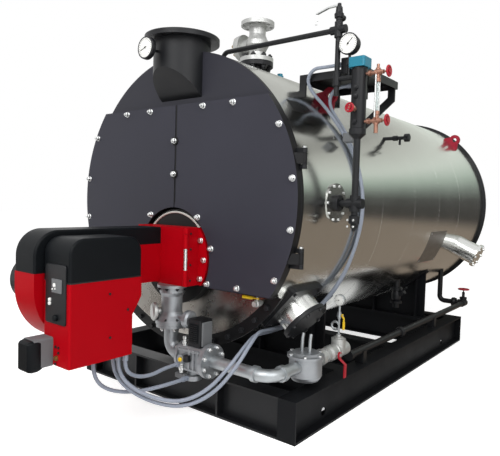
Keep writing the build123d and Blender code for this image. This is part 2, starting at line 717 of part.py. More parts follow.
def gauge_glass():
    x1 = COLUMN_X + COLUMN_R + COCK_REACH
    tube = Circle(GLASS_R) - Circle(GLASS_R - 2)
    return Pos(x1, HEADER_Y, 0) * along_z(tube, COCK_ZS[1] + 30, COCK_ZS[0] - 30)


def handwheel(origin, direction, radius, rim, bore):
    ring = Torus(radius - rim, rim)
    hub = Cylinder(bore + 6, 2 * rim + 4) - Cylinder(bore, 4 * rim)
    wheel = ring + hub
    for k in range(5):
        spoke = Rot(0, 0, 72 * k) * Pos(radius / 2, 0, 0) * Box(radius - rim, 1.4 * rim, rim)
        wheel += spoke - Cylinder(bore, 4 * rim)
    return Plane(origin=origin, z_dir=direction) * wheel


def cock_wheels():
    x = COLUMN_X + COLUMN_R - 4 + 116
    wheels = [handwheel((x, HEADER_Y, z), (1, 0, 0), COCK_WHEEL_R, 5, 5) for z in COCK_ZS]
    y = HEADER_Y - COLUMN_R + 4 - 60
    wheels.append(handwheel((COLUMN_X, y, TRY_COCK_Z), (0, -1, 0), COCK_WHEEL_R - 4, 5, 4))
    return Compound(wheels)


def control_shelf():
    z0 = SHELF_Z - SHELF_BAR
    frame = block(SHELF_X0, SHELF_X1, SHELF_Y0, SHELF_Y1, SHELF_Z - SHELF_T, SHELF_Z)
    frame += block(SHELF_X0, SHELF_X1, SHELF_Y0, SHELF_Y0 + SHELF_T, z0, SHELF_Z)
    frame += block(SHELF_X0, SHELF_X1, SHELF_Y1 - SHELF_T, SHELF_Y1, z0, SHELF_Z)
    frame += block(SHELF_X0, SHELF_X0 + SHELF_T, SHELF_Y0, SHELF_Y1, z0, SHELF_Z)
    frame += block(SHELF_X1 - SHELF_T, SHELF_X1, SHELF_Y0, SHELF_Y1, z0, SHELF_Z)
    foot = SHELF_X0 + 55
    leg = Polyline((SHELF_X1, z0 + 6), (SHELF_X1, z0 - 70), (foot, z0 - 345), (foot, z0 - 285),
                   (SHELF_X1 - SHELF_BAR, z0 - 48), (SHELF_X1 - SHELF_BAR, z0 + 6), close=True)
    frame += along_y(make_face(leg), SHELF_Y1 - SHELF_BAR, SHELF_Y1 - SHELF_BAR * 3 / 4)
    for y in (SHELF_Y0, SHELF_Y1 - SHELF_BAR):
        frame += block(SHELF_X0, SHELF_X0 + SHELF_BAR, y, y + SHELF_BAR / 4, z0 - 145, z0 + 6)
    frame -= shell_solid()
    for k, y in enumerate(SHELF_BOX_YS):
        outline = RectangleRounded(SHELF_BOX_W, SHELF_BOX_D, 6)
        frame += Pos(SHELF_BOX_X - 40 * k, y, 0) * along_z(outline, z0 - SHELF_BOX_DROP, SHELF_Z - SHELF_T)
    switch = RectangleRounded(SWITCH_W, SWITCH_D, 5)
    x = SWITCH_X0 + SWITCH_W / 2
    frame += Pos(x, SHELF_Y0 - SWITCH_D / 2, 0) * along_z(switch, SWITCH_Z0, SWITCH_Z0 + SWITCH_H)
    return frame


def lug_outline():
    spread = LUG_BASE / 2
    web = Polyline((-spread, -30), (-spread, 6), (-LUG_R * 0.9, LUG_OUT), (LUG_R * 0.9, LUG_OUT), (spread, 6),
                   (spread, -30), close=True)
    return make_face(web) + Pos(0, LUG_OUT) * Circle(LUG_R) - Pos(0, LUG_OUT) * Circle(LUG_HOLE_R)


def lifting_lugs():
    lugs = []
    for y in LUG_YS:
        for side in (-1, 1):
            turn = Rot(0, 0, side * (LUG_ANGLE - 90))
            sketch = turn * Pos(0, JACKET_R) * lug_outline()
            lugs.append(along_y(sketch, y - LUG_T / 2, y + LUG_T / 2) - shell_solid())
    return Compound(lugs)


def nozzle_axis(spec, reach):
    y, angle, _, _ = spec
    return radial(angle) * reach + Vector(0, y, 0)


def clad_nozzle(spec):
    reach = JACKET_R + spec[3]
    body = rod(tuple(nozzle_axis(spec, JACKET_IN + 10)), tuple(nozzle_axis(spec, reach)), spec[2])
    return body - shell_solid()


def nozzle_cover(spec):
    reach = JACKET_R + spec[3]
    base = tuple(nozzle_axis(spec, reach))
    r = spec[2] + COVER_LIP
    return turned(base, tuple(radial(spec[1])), [(r, 0), (r, COVER_T - 4), (r - 4, COVER_T)])


def drum_collar():
    plane = Plane(origin=tuple(nozzle_axis(DRUM, JACKET_R - 30)), x_dir=(0, 1, 0), z_dir=tuple(radial(DRUM[1])))
    plate = plane * extrude(RectangleRounded(COLLAR_W, COLLAR_W, 20), amount=30 + COLLAR_T)
    plate -= rod(tuple(nozzle_axis(DRUM, JACKET_IN)), tuple(nozzle_axis(DRUM, JACKET_R + 200)), DRUM[2])
    return plate - shell_solid()


def shell_valves():
    y = SHEET_Y + SIDE_VALVE_BACK
    z = SIDE_VALVE_Z
    x = shell_side(z) - 63
    side = turned((x, y, z), (1, 0, 0),
                  [(11, 0), (11, 120), (16, 122), (16, 150), (11, 152), (11, 196), (25, 198), (25, 224), (18, 228)])
    side += block(x + 160, x + 172, y - 4, y + 4, z - 42, z)
    side -= shell_solid()
    x = BLOWDOWN_X
    y = SHEET_Y + BLOWDOWN_BACK
    z = shell_below(x) + 92
    down = turned((x, y, z), (0, 0, -1),
                  [(24, 0), (24, 130), (44, 132), (44, 146), (28, 150), (34, 180), (34, 214), (28, 230), (44, 232),
                   (44, 246), (24, 248), (24, 280)])
    down += turned((x, y, z - 198), Vector(0.7, 0, 0.7), [(22, 0), (22, 60), (30, 62), (30, 74), (8, 76), (8, 110)])
    down -= shell_solid()
    return Compound([side, down])


def top_vent():
    vent = turned((0, VENT_Y, JACKET_R - 20), (0, 0, 1),
                  [(14, 0), (14, 50), (24, 52), (24, 84), (18, 90), (18, 98)])
    return vent - shell_solid()


def burner_housing():
    y1 = RIM_Y - THROAT_PLATE_T
    y0 = y1 - BURNER_FLANGE_T
    disc = Pos(0, BURNER_Z) * Circle(BURNER_FLANGE_R) & half_plane(HOUSING_BOTTOM, HOUSING_TOP)
    part = along_y(disc, y0, y1)
    front = HOUSING_FRONT
    mid = (HOUSING_TOP + HOUSING_BOTTOM) / 2
    face = Pos(0, mid) * Rectangle(2 * HOUSING_HALF, HOUSING_TOP - HOUSING_BOTTOM)
    box = along_y(face, front, y0)
    edges = box.edges().filter_by(Axis.Z).group_by(Axis.Y)[0]
    part += fillet(edges, 14)
    for z in (HOUSING_TOP - 16, HOUSING_BOTTOM + 16):
        part += rod((HOUSING_HALF - 6, front + 4, z - 14), (HOUSING_HALF - 6, front + 4, z + 14), 13)
    part += rod((HOUSING_HALF - 6, front + 4, HOUSING_BOTTOM), (HOUSING_HALF - 6, front + 4, HOUSING_TOP), 7)
    return part


def case_profile():
    mid_z = CASE_TOP - CASE_R
    outline = Pos(CASE_Y, mid_z) * Circle(CASE_R)
    nose = Pos(CASE_Y - CASE_R / 2, CASE_TOP - CASE_R / 2) * Rectangle(CASE_R, CASE_R)
    nose = fillet(nose.vertices().group_by(Axis.Y)[-1].sort_by(Axis.X)[0], CASE_NOSE_R)
    duct = Pos((CASE_Y + HOUSING_FRONT) / 2, (CASE_TOP + DUCT_BOTTOM) / 2)
    return outline + nose + duct * Rectangle(HOUSING_FRONT - CASE_Y, CASE_TOP - DUCT_BOTTOM)


def cover_region():
    step_y = CASE_Y + CASE_R / 2
    front = Pos(step_y - 1000, COVER_EDGE_FRONT + 500) * Rectangle(2000, 1000)
    return front + Pos(step_y + 1000, COVER_EDGE_BACK + 500) * Rectangle(2000, 1000)


def box_profile():
    line = Polyline((BOX_FRONT, BOX_EDGE), (BOX_FRONT, BOX_BOTTOM), (BOX_BACK - 50, BOX_BOTTOM),
                    (BOX_BACK - 50, BOX_EDGE - 175), (BOX_BACK, BOX_EDGE - 96), (BOX_BACK, BOX_EDGE), close=True)
    return make_face(line)


def burner_body():
    case = along_x(case_profile() - cover_region(), -CASE_W, 0)
    box = along_x(box_profile(), BOX_GAP, BOX_GAP + BOX_W)
    box = fillet(box.edges().filter_by(Axis.Z).group_by(Axis.Y)[0], COVER_EDGE_R)
    link = along_x(Pos(CASE_Y, CASE_TOP - CASE_R - 40) * Rectangle(200, 160), 0, BOX_GAP)
    return case + link + box


def eased_sides(solid):
    return fillet(solid.edges().filter_by(Axis.Y).group_by(Axis.Z)[-1], COVER_EDGE_R)


def burner_covers():
    fan = eased_sides(along_x(case_profile() & cover_region(), -CASE_W, 0))
    hood = Pos((BOX_FRONT + BOX_BACK) / 2, (BOX_TOP + BOX_EDGE) / 2) * Rectangle(BOX_BACK - BOX_FRONT,
                                                                                BOX_TOP - BOX_EDGE)
    hood = fillet(hood.vertices().group_by(Axis.Y)[-1], 72)
    return Compound([fan, eased_sides(along_x(hood, BOX_GAP, BOX_GAP + BOX_W))])


def fan_motor():
    y = CASE_Y - 60
    z = CASE_TOP - CASE_R
    return turned((-CASE_W, y, z), (-1, 0, 0),
                  [(MOTOR_R + 14, 0), (MOTOR_R + 14, 12), (MOTOR_R, 14), (MOTOR_R, MOTOR_LEN - 60),
                   (MOTOR_R - 6, MOTOR_LEN - 58), (MOTOR_R - 6, MOTOR_LEN - 14), (MOTOR_R - 24, MOTOR_LEN)])


def damper_servo():
    z1 = BOX_BOTTOM + 118
    outline = Pos(SERVO_W / 2, z1 - SERVO_H / 2) * RectangleRounded(SERVO_W, SERVO_H, 10)
    return along_y(outline, BOX_FRONT - SERVO_D, BOX_FRONT)


def gas_inlet_valve():
    top = HOUSING_BOTTOM
    body = turned((GAS_X, GAS_Y, top), (0, 0, -1),
                  [(78, 0), (78, 14), (66, 16), (66, 40), (56, 60), (54, 140), (60, 160), (84, 186), (84, 204),
                   (80, 206), (80, 222), (40, 226), (40, 246)])
    elbow = bent_pipe([(GAS_X, GAS_Y, top - 240), (GAS_X, GAS_Y, GAS_Z), (BLOCK_X0, GAS_Y, GAS_Z)], 38, 62)
    switch = turned((GAS_X + 40, GAS_Y, top - 168), (1, 0, 0),
                    [(20, 0), (20, 70), (46, 74), (46, 98), (38, 108), (20, 112)])
    return body + elbow + switch


def gas_valve_block():
    part = rod((BLOCK_X0, GAS_Y, GAS_Z), (BLOCK_X0 + 18, GAS_Y, GAS_Z), 72)
    part += rod((BLOCK_X1 - 26, GAS_Y, GAS_Z), (BLOCK_X1, GAS_Y, GAS_Z), 86)
    body = Pos(GAS_Y, GAS_Z) * RectangleRounded(116, 128, 14)
    part += along_x(body, BLOCK_X0 + 18, BLOCK_X1 - 26)
    part += turned((BLOCK_X0 + 70, GAS_Y, GAS_Z - 60), (0, 0, -1), [(30, 0), (30, 30), (VALVE_BOSS_R, 32), (VALVE_BOSS_R, 56), (20, 60)])
    part += rod((BLOCK_X0 + 60, GAS_Y - 54, GAS_Z), (BLOCK_X0 + 60, GAS_Y - 84, GAS_Z), 24)
    return part


def gas_actuator():
    z0 = GAS_Z + 64
    return Pos(BLOCK_X0 + 112, GAS_Y, 0) * along_z(RectangleRounded(84, 92, 8), z0, z0 + 136)


def gas_pipe():
    run = bent_pipe([(BLOCK_X1, GAS_Y, GAS_Z), (GAS_RUN_X, GAS_Y, GAS_Z), (GAS_RUN_X, FILTER_Y - FILTER_R + 12, GAS_Z)],
                    GAS_PIPE_R, GAS_BEND)
    run += rod((GAS_RUN_X - GAS_BEND - 24, GAS_Y, GAS_Z), (GAS_RUN_X - GAS_BEND, GAS_Y, GAS_Z), GAS_PIPE_R + 8)
    run += rod((GAS_RUN_X, GAS_Y + GAS_BEND, GAS_Z), (GAS_RUN_X, GAS_Y + GAS_BEND + 24, GAS_Z), GAS_PIPE_R + 8)
    return run - rod((GAS_RUN_X, FILTER_Y, GAS_Z - FILTER_H), (GAS_RUN_X, FILTER_Y, GAS_Z + FILTER_H), FILTER_R)


def gas_filter():
    h = FILTER_H
    return turned((GAS_RUN_X, FILTER_Y, GAS_Z - h / 2 - 8), (0, 0, 1),
                  [(FILTER_R - 16, 0), (FILTER_R - 6, 12), (FILTER_R, 24), (FILTER_R, h - 26), (FILTER_R + 10, h - 24),
                   (FILTER_R + 10, h - 12), (FILTER_R - 4, h - 8), (FILTER_R - 16, h)])


def gas_ball_valve():
    x = GAS_RUN_X
    z = GAS_Z
    r = GAS_PIPE_R
    part = turned((x, FILTER_Y, z), (0, 1, 0),
                  [(r, 0), (r, 120), (r + 12, 122), (r + 12, 152), (r, 154), (r, 186), (r + 8, 188), (r + 8, 206),
                   (r + 4, 210), (r + 12, 228), (r + 12, 268), (r + 4, 286), (r + 8, 290), (r + 8, 306),
                   (r, 308), (r + 9, 312), (r + 9, TEE_END - FILTER_Y)])
    part -= rod((x, FILTER_Y, z - FILTER_H), (x, FILTER_Y, z + FILTER_H), FILTER_R)
    part += rod((x, TEE_Y, z), (x, TEE_Y, z + 64), r + 9)
    part += turned((x, TEE_Y, z + 64), (0, 0, 1), [(r - 4, 0), (r - 4, 8), (14, 10), (14, 22)])
    part += rod((x, BALL_Y, z), (x + 64, BALL_Y, z), 9)
    return part - rod((x, TEE_END, z), (x, TEE_END - 40, z), GAS_BORE_R)


def gas_lever():
    x = GAS_RUN_X + 52
    hub = rod((x, BALL_Y, GAS_Z), (x + 8, BALL_Y, GAS_Z), 17)
    arm = Polyline((x, GAS_Z + 6), (x + 8, GAS_Z + 6), (x + 8, GAS_Z - 20), (LEVER_X + 6, GAS_Z - 44),
                   (LEVER_X + 6, GAS_Z - LEVER_LEN), (LEVER_X, GAS_Z - LEVER_LEN), (LEVER_X, GAS_Z - 40),
                   (x, GAS_Z - 17), close=True)
    lever = hub + along_y(make_face(arm), BALL_Y - 11, BALL_Y + 11)
    return lever - rod((x - 5, BALL_Y, GAS_Z), (x + 20, BALL_Y, GAS_Z), 9 + HINGE_RUN)


def gas_gauge():
    x = GAS_RUN_X
    y = TEE_Y
    z0 = GAS_Z + 86
    part = rod((x, y, z0), (x, y, COCK_Z + 56), 6)
    part += Pos(x - 22, y, z0 + 44) * Rot(90, 0, 0) * Torus(22, 6)
    part += turned((x, y, COCK_Z - 18), (0, 0, 1), [(10, 0), (10, 6), (13, 8), (13, 28), (10, 30), (10, 36)])
    part += rod((x, y, COCK_Z), (x + 24, y, COCK_Z), 4)
    part += turned((x, y - 12, COCK_Z + 84), (0, 1, 0), [(29, 0), (31, 3), (31, 20), (27, 24)])
    return part


def gauge_lever():
    x = GAS_RUN_X + 16
    hub = rod((x, TEE_Y, COCK_Z), (x + 5, TEE_Y, COCK_Z), 9)
    arm = Polyline((x, COCK_Z + 3), (x + 5, COCK_Z + 3), (x + 14, COCK_Z - 16), (x + 14, COCK_Z - 74),
                   (x + 10, COCK_Z - 74), (x + 10, COCK_Z - 16), (x, COCK_Z - 4), close=True)
    lever = hub + along_y(make_face(arm), TEE_Y - 6, TEE_Y + 6)
    return lever - rod((x - 5, TEE_Y, COCK_Z), (x + 12, TEE_Y, COCK_Z), 4 + HINGE_RUN)


def front_cock():
    face = LOWER_Y - LOWER_RING_T
    body = turned((DRAIN_X, face, DRAIN_Z), (0, -1, 0),
                  [(9, 0), (9, 12), (15, 14), (17, 22), (17, 50), (13, 54), (13, 66)])
    return body + rod((DRAIN_X, DRAIN_Y, DRAIN_Z), (DRAIN_X, DRAIN_Y, DRAIN_Z + 33), 5)


def front_cock_lever():
    z = DRAIN_Z + 22
    hub = rod((DRAIN_X, DRAIN_Y, z), (DRAIN_X, DRAIN_Y, z + 6), 10)
    arm = block(DRAIN_X - 84, DRAIN_X, DRAIN_Y - 8, DRAIN_Y + 8, z, z + 5)
    return hub + arm - rod((DRAIN_X, DRAIN_Y, z - 5), (DRAIN_X, DRAIN_Y, z + 12), 5 + HINGE_RUN)


def feed_pipe():
    x = FEED_X
    z = FEED_Z
    r = FEED_R
    part = turned((x, FEED_Y0, z), (0, 1, 0),
                  [(r + 7, 0), (r + 7, 30), (r, 32), (r, 720), (r + 9, 722), (r + 14, 742), (r + 9, 762), (r, 764),
                   (r, FEED_Y1 - FEED_Y0 - 50), (r + 8, FEED_Y1 - FEED_Y0 - 48), (r + 8, FEED_Y1 - FEED_Y0 + 44)])
    part += turned((x, FEED_Y1, z), (0, 0, 1), [(r + 6, 0), (r + 6, 34), (30, 36), (30, 52), (12, 56), (12, 96), (5, 98),
                                                (5, 132)])
    part += turned((x, FEED_Y1, z), (-1, 0, 0),
                   [(r + 8, 0), (r + 8, 44), (r, 46), (r, 58), (36, 60), (40, 78), (36, 96), (r, 98), (r, 150)])
    riser = x - FEED_RISER_IN
    part += bent_pipe([(x - 140, FEED_Y1, z), (riser, FEED_Y1, z), (riser, FEED_Y1, shell_below(riser) + 72)], r, 45)
    for y in (FEED_Y0 + 160, FEED_Y0 + 1360):
        part += block(x - 26, x + 26, y - 20, y + 20, SKID_TOP, z)
    part -= rod((x, FEED_Y1, z), (x, FEED_Y1 + 44, z), FEED_BORE_R)
    return part - shell_solid()


def conduit_routes():
    top = BOX_BOTTOM - GLAND_LEN
    back = BOX_BACK - 86
    switch_x = SWITCH_X0 - GLAND_LEN
    switch_y = SHELF_Y0 - 20
    box_x = SHELF_BOX_X - SHELF_BOX_W / 2 - GLAND_LEN
    box_y = SHELF_BOX_YS[0]
    front = SHELF_Y0 - 17
    return {
        "conduit_shelf_upper": [
            (112, back, top), (112, back, top - 62), (165, back + 42, top - 147), (275, back + 110, top - 202),
            (405, back + 180, top - 207), (520, back + 250, top - 132), (588, -150, GAS_Z + 40),
            (592, -50, GAS_Z + 135), (552, 60, -632), (508, 175, -655), (500, 300, -662), (524, 425, -648),
            (590, 520, -592), (665, 568, -487), (735, 592, -355), (785, 606, -205), (808, 615, -50), (805, 610, 95),
            (772, 590, 235), (705, 545, 392), (632, 490, 515), (578, front + 37, SHELF_Z - 100),
            (560, front, SHELF_Z - 35), (605, front - 10, SHELF_Z + 17), (672, switch_y, SHELF_Z + 17),
            (switch_x, switch_y, SHELF_Z + 17),
        ],
        "conduit_shelf_lower": [
            (150, back, top), (150, back, top - 57), (200, back + 38, top - 130), (300, back + 108, top - 177),
            (410, back + 168, top - 177), (505, back + 238, top - 110), (563, -160, GAS_Z + 48),
            (566, -52, GAS_Z + 122), (526, 60, -655), (480, 178, -676), (471, 300, -684), (494, 432, -672),
            (566, 540, -616), (648, 596, -508), (716, 618, -380), (765, 632, -235), (798, 640, -75), (797, 636, 70),
            (768, 616, 228), (716, 580, 378), (664, 545, 468), (640, box_y + 10, SHELF_Z - 163),
            (640, box_y + 3, SHELF_Z - 108), (680, box_y, SHELF_Z - 65), (box_x, box_y, SHELF_Z - 65),
        ],
        "conduit_valve_loop": [
            (86, back - 90, top), (86, back - 90, top - 62), (95, back - 45, top - 132), (125, back + 40, top - 170),
            (165, back + 140, top - 178), (BLOCK_X0 + 70, GAS_Y - 165, GAS_Z - 102),
            (BLOCK_X0 + 70, GAS_Y - 74, GAS_Z - 102),
        ],
        "conduit_valve_short": [
            (180, back + 16, top), (180, back + 16, top - 47), (186, back + 75, top - 90), (195, back + 160, top - 102),
            (BLOCK_X0 + 36, GAS_Y - 165, GAS_Z - 30), (BLOCK_X0 + 36, GAS_Y - 58 - GLAND_LEN, GAS_Z - 30),
        ],
    }


def conduit(points):
    corners = zip(points, points[1:], points[2:])
    radii = []
    for before, corner, after in corners:
        leg_in = Vector(*corner) - Vector(*before)
        leg_out = Vector(*after) - Vector(*corner)
        half_turn = math.radians(leg_in.get_angle(leg_out)) / 2
        radii.append(0.45 * min(leg_in.length, leg_out.length) / math.tan(half_turn))
    path = FilletPolyline(*points, radius=radii)
    return sweep(Plane(origin=path @ 0, z_dir=path % 0) * Circle(CONDUIT_R), path=path)


def conduit_glands():
    routes = conduit_routes()
    glands = []
    for points in routes.values():
        x, y, z = points[0]
        glands.append(rod((x, y, z), (x, y, BOX_BOTTOM), GLAND_R))
    for name in ("conduit_shelf_upper", "conduit_shelf_lower"):
        x, y, z = routes[name][-1]
        glands.append(rod((x, y, z), (x + GLAND_LEN, y, z), GLAND_R))
    x, y, z = routes["conduit_valve_loop"][-1]
    boss = rod((x, GAS_Y, GAS_Z), (x, GAS_Y, z - 2 * GLAND_R), VALVE_BOSS_R)
    glands.append(rod((x, y, z), (x, GAS_Y, z), GLAND_R) - boss)
    x, y, z = routes["conduit_valve_short"][-1]
    glands.append(rod((x, y, z), (x, y + GLAND_LEN, z), GLAND_R))
    return Compound(glands)


def feed_wheel():
    return handwheel((FEED_X, FEED_Y1, FEED_Z + 122), (0, 0, 1), FEED_WHEEL_R, 6, 5 + HINGE_RUN)


door = right_door()
export_node(skid_side_beams(), "skid_side_beams")
export_node(skid_front_beam(), "skid_front_beam")
export_node(skid_cross_beams(), "skid_cross_beams")
export_node(Compound([saddle(y) for y in SADDLE_YS]), "saddles")
export_node(shell_jacket(), "shell_jacket")
export_node(smokebox_wall(), "smokebox_wall")
export_node(smokebox_front(), "smokebox_front")
export_node(tube_sheet(), "tube_sheet")
export_node(furnace_throat(), "furnace_throat")
export_node(lower_front_panel(), "lower_front_panel")
export_node(door, "door_right")
export_node(mirror(door, Plane.YZ), "door_left")
export_node(Compound(hinge_set(1) + hinge_set(-1)), "door_hinges")
export_node(rear_head(), "rear_head")
export_node(flue_stack(), "flue_stack")
export_node(flue_thermometer(), "flue_thermometer")
export_node(steam_piping(), "steam_piping")
export_node(steam_valve(), "steam_valve")
export_node(safety_valve(), "safety_valve")
export_node(safety_lever(), "safety_lever")
export_node(pressure_gauge(), "pressure_gauge")
export_node(water_column(), "water_column")
export_node(handhole_pad(), "handhole_pad")
export_node(column_head(), "column_head")
export_node(gauge_cocks(), "gauge_cocks")
export_node(gauge_glass(), "gauge_glass")
export_node(cock_wheels(), "cock_wheels")
export_node(control_shelf(), "control_shelf")
export_node(lifting_lugs(), "lifting_lugs")
export_node(Compound([clad_nozzle(DRUM), clad_nozzle(REAR_NOZZLE) + nozzle_cover(REAR_NOZZLE)]), "clad_nozzles")
export_node(Compound([nozzle_cover(DRUM), drum_collar()]), "nozzle_covers")
export_node(shell_valves(), "shell_valves")
export_node(top_vent(), "top_vent")
export_node(burner_housing(), "burner_housing")
export_node(burner_body(), "burner_body")
export_node(burner_covers(), "burner_covers")
export_node(fan_motor(), "fan_motor")
export_node(damper_servo(), "damper_servo")
export_node(gas_inlet_valve(), "gas_inlet_valve")
export_node(gas_valve_block(), "gas_valve_block")
export_node(gas_actuator(), "gas_actuator")
export_node(gas_pipe(), "gas_pipe")
export_node(gas_filter(), "gas_filter")
export_node(gas_ball_valve(), "gas_ball_valve")
export_node(gas_lever(), "gas_lever")
export_node(gas_gauge(), "gas_gauge")
export_node(gauge_lever(), "gauge_lever")
export_node(front_cock(), "front_cock")
export_node(front_cock_lever(), "front_cock_lever")
export_node(feed_pipe(), "feed_pipe")
export_node(feed_wheel(), "feed_wheel")
export_node(conduit_glands(), "conduit_glands")
for name, points in conduit_routes().items():
    export_node(conduit(points), name)
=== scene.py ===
import logging
import math
from dataclasses import dataclass, replace
from enum import Enum

import bmesh
import bpy
import numpy as np
from mathutils import Matrix


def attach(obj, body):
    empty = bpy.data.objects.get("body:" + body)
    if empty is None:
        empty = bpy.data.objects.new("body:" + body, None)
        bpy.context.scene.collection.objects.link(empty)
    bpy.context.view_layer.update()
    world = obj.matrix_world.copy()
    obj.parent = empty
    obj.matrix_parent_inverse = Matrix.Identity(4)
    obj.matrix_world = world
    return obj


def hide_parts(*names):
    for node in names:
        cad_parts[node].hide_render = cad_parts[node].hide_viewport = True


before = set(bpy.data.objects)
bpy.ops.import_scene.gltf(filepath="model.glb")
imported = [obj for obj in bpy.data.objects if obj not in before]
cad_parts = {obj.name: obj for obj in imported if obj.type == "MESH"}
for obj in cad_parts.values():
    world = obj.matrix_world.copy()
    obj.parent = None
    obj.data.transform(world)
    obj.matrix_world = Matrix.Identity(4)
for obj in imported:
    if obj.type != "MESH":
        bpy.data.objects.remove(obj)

Array = np.ndarray
Rows = np.ndarray | list | tuple
Point = tuple[float, float, float]
Tree = bpy.types.NodeTree
Socket = bpy.types.NodeSocket
log = logging.getLogger("boiler")

# Sizes are in mm in the boiler's own frame: Y along the shell from the door face, Z from the shell's axis.
ORIGIN = np.array([0.0, -1289.0, 1114.0])
JACKET_R = 787.0
SHELL_END = 3125.0
THROAT_Z = -306.0
MM = 0.001

RIGHT, BACK, UP = (1.0, 0.0, 0.0), (0.0, 1.0, 0.0), (0.0, 0.0, 1.0)
LEFT, FRONT, DOWN = (-1.0, 0.0, 0.0), (0.0, -1.0, 0.0), (0.0, 0.0, -1.0)


class Brush(Enum):
    """Which way a metal's polishing lines run."""

    NONE = (1.0, 1.0, 1.0)
    ALONG = (1.0, 0.03, 1.0)
    UPRIGHT = (1.0, 1.0, 0.03)


def shared(points: Rows) -> Array:
    """Moves points from boiler-frame millimetres to shared-frame metres.

    Args:
        points: array whose last axis is x, y, z in mm.

    Returns:
        The points in the shared frame.
    """
    return (np.asarray(points, float) + ORIGIN) * MM


def linear(text: str) -> tuple[float, float, float, float]:
    """Turns an sRGB hex colour into linear red, green, blue and alpha.

    Args:
        text: colour written as #RRGGBB.

    Returns:
        Four linear values from 0 to 1.
    """
    srgb = np.array([int(text[k:k + 2], 16) for k in (1, 3, 5)]) / 255.0
    value = np.where(srgb <= 0.04045, srgb / 12.92, ((srgb + 0.055) / 1.055) ** 2.4)
    return (*map(float, value), 1.0)


def add_node(tree: Tree, kind: str, inputs: dict | None = None, **settings: object) -> bpy.types.Node:
    """Adds a shader node with its settings and links.

    Args:
        tree: nodes that get the new one.
        kind: Blender's name of the node type.
        inputs: socket name or number to its value or to the socket that feeds it.
        settings: the node's own properties.

    Returns:
        The new node.
    """
    made = tree.nodes.new(kind)
    for key, value in settings.items():
        setattr(made, key, value)
    for key, value in (inputs or {}).items():
        if isinstance(value, bpy.types.NodeSocket):
            tree.links.new(value, made.inputs[key])
        else:
            made.inputs[key].default_value = value
    return made


def noise(tree: Tree, place: Socket, size_mm: float, detail: float, **more: float) -> Socket:
    """Noise pattern of a given size.

    Args:
        tree: the material's nodes.
        place: coordinates in metres.
        size_mm: size of the pattern.
        detail: number of finer layers in it.
        more: other sockets of the noise, by name.

    Returns:
        The noise, from 0 to 1.
    """
    values = {"Vector": place, "Scale": 1000.0 / size_mm, "Detail": detail, **more}
    return add_node(tree, "ShaderNodeTexNoise", values).outputs["Fac"]


def bump(tree: Tree, height: Socket, depth_mm: float, strength: float, under: Socket | None = None) -> Socket:
    """Relief from a height pattern.

    Args:
        tree: the material's nodes.
        height: the pattern.
        depth_mm: depth of the relief.
        strength: share of it that shows.
        under: normal of a coarser relief below it.

    Returns:
        The normal of both together.
    """
    values = {"Height": height, "Strength": strength, "Distance": depth_mm * MM}
    if under is not None:
        values["Normal"] = under
    return add_node(tree, "ShaderNodeBump", values).outputs["Normal"]


@dataclass(frozen=True)
class Finish:
    """A real surface finish: colours, gloss and relief, with its pattern sizes in mm.

    The tone noise mixes the two colours and varies the roughness, and a finer noise gives the relief.
    Where edge is set, the sides and back behind the front face at face_y turn to that colour: painted shade.
    """

    name: str
    colour: str
    second: str
    metal: float = 0.0
    gloss: tuple[float, float] = (0.4, 0.5)
    tone: float = 180.0
    grain: float = 3.0
    depth: float = 0.05
    brush: Brush = Brush.NONE
    shine: float = 0.5
    clear: float = 0.0
    # edge: colour of the painted shade behind face_y; empty for none
    edge: str = ""
    face_y: float = 0.0

    def material(self) -> bpy.types.Material:
        """Builds the node material once and returns it.

        Returns:
            The material named for this finish.
        """
        known = bpy.data.materials.get(self.name)
        if known is not None:
            return known
        made = bpy.data.materials.new(self.name)
        made.use_nodes = True
        tree = made.node_tree
        shader = tree.nodes["Principled BSDF"].inputs
        shader["Metallic"].default_value = self.metal
        shader["Specular IOR Level"].default_value = self.shine
        shader["Transmission Weight"].default_value = self.clear
        place = add_node(tree, "ShaderNodeTexCoord").outputs["Object"]
        tone = noise(tree, place, self.tone, 5.0, Roughness=0.6)
        # The mix node's colour form takes its colours in sockets 6 and 7 and gives output 2.
        mixed = add_node(tree, "ShaderNodeMix", {0: tone, 6: linear(self.colour), 7: linear(self.second)},
                         data_type="RGBA").outputs[2]
        low, high = self.gloss
        rough = add_node(tree, "ShaderNodeMapRange", {
            "Value": tone, "From Min": 0.3, "From Max": 0.7, "To Min": low, "To Max": high})
        tree.links.new(self.paint_edge_shade(tree, place, mixed), shader["Base Color"])
        tree.links.new(rough.outputs["Result"], shader["Roughness"])
        tree.links.new(self.relief(tree, place), shader["Normal"])
        return made

    def paint_edge_shade(self, tree: Tree, place: Socket, colour: Socket) -> Socket:
        """Paints shade on the sides and back: turns to the edge's colour, where the finish has one, from 1 mm
        behind the front face.

        Args:
            tree: the material's nodes.
            place: object coordinates.
            colour: the two colours mixed.

        Returns:
            The colour that the shader gets.
        """
        if not self.edge:
            return colour
        # painted shade: behind the front face the colour turns near black, where the sides fall dark
        depth = add_node(tree, "ShaderNodeSeparateXYZ", {"Vector": place}).outputs["Y"]
        start = (self.face_y + ORIGIN[1]) * MM
        behind = add_node(tree, "ShaderNodeMapRange", {
            "Value": depth, "From Min": start + MM, "From Max": start + 2 * MM})
        return add_node(tree, "ShaderNodeMix", {0: behind.outputs["Result"], 6: colour, 7: linear(self.edge)},
                        data_type="RGBA").outputs[2]

    def relief(self, tree: Tree, place: Socket, under: Socket | None = None) -> Socket:
        """Fine grain of the surface: noise drawn out along the polishing lines.

        Args:
            tree: the material's nodes.
            place: object coordinates.
            under: normal of a coarser relief below the grain.

        Returns:
            The normal of the grain.
        """
        lines = add_node(tree, "ShaderNodeMapping", {"Vector": place, "Scale": self.brush.value})
        grain = noise(tree, lines.outputs["Vector"], self.grain, 3.0)
        return bump(tree, grain, self.depth, 0.6, under)


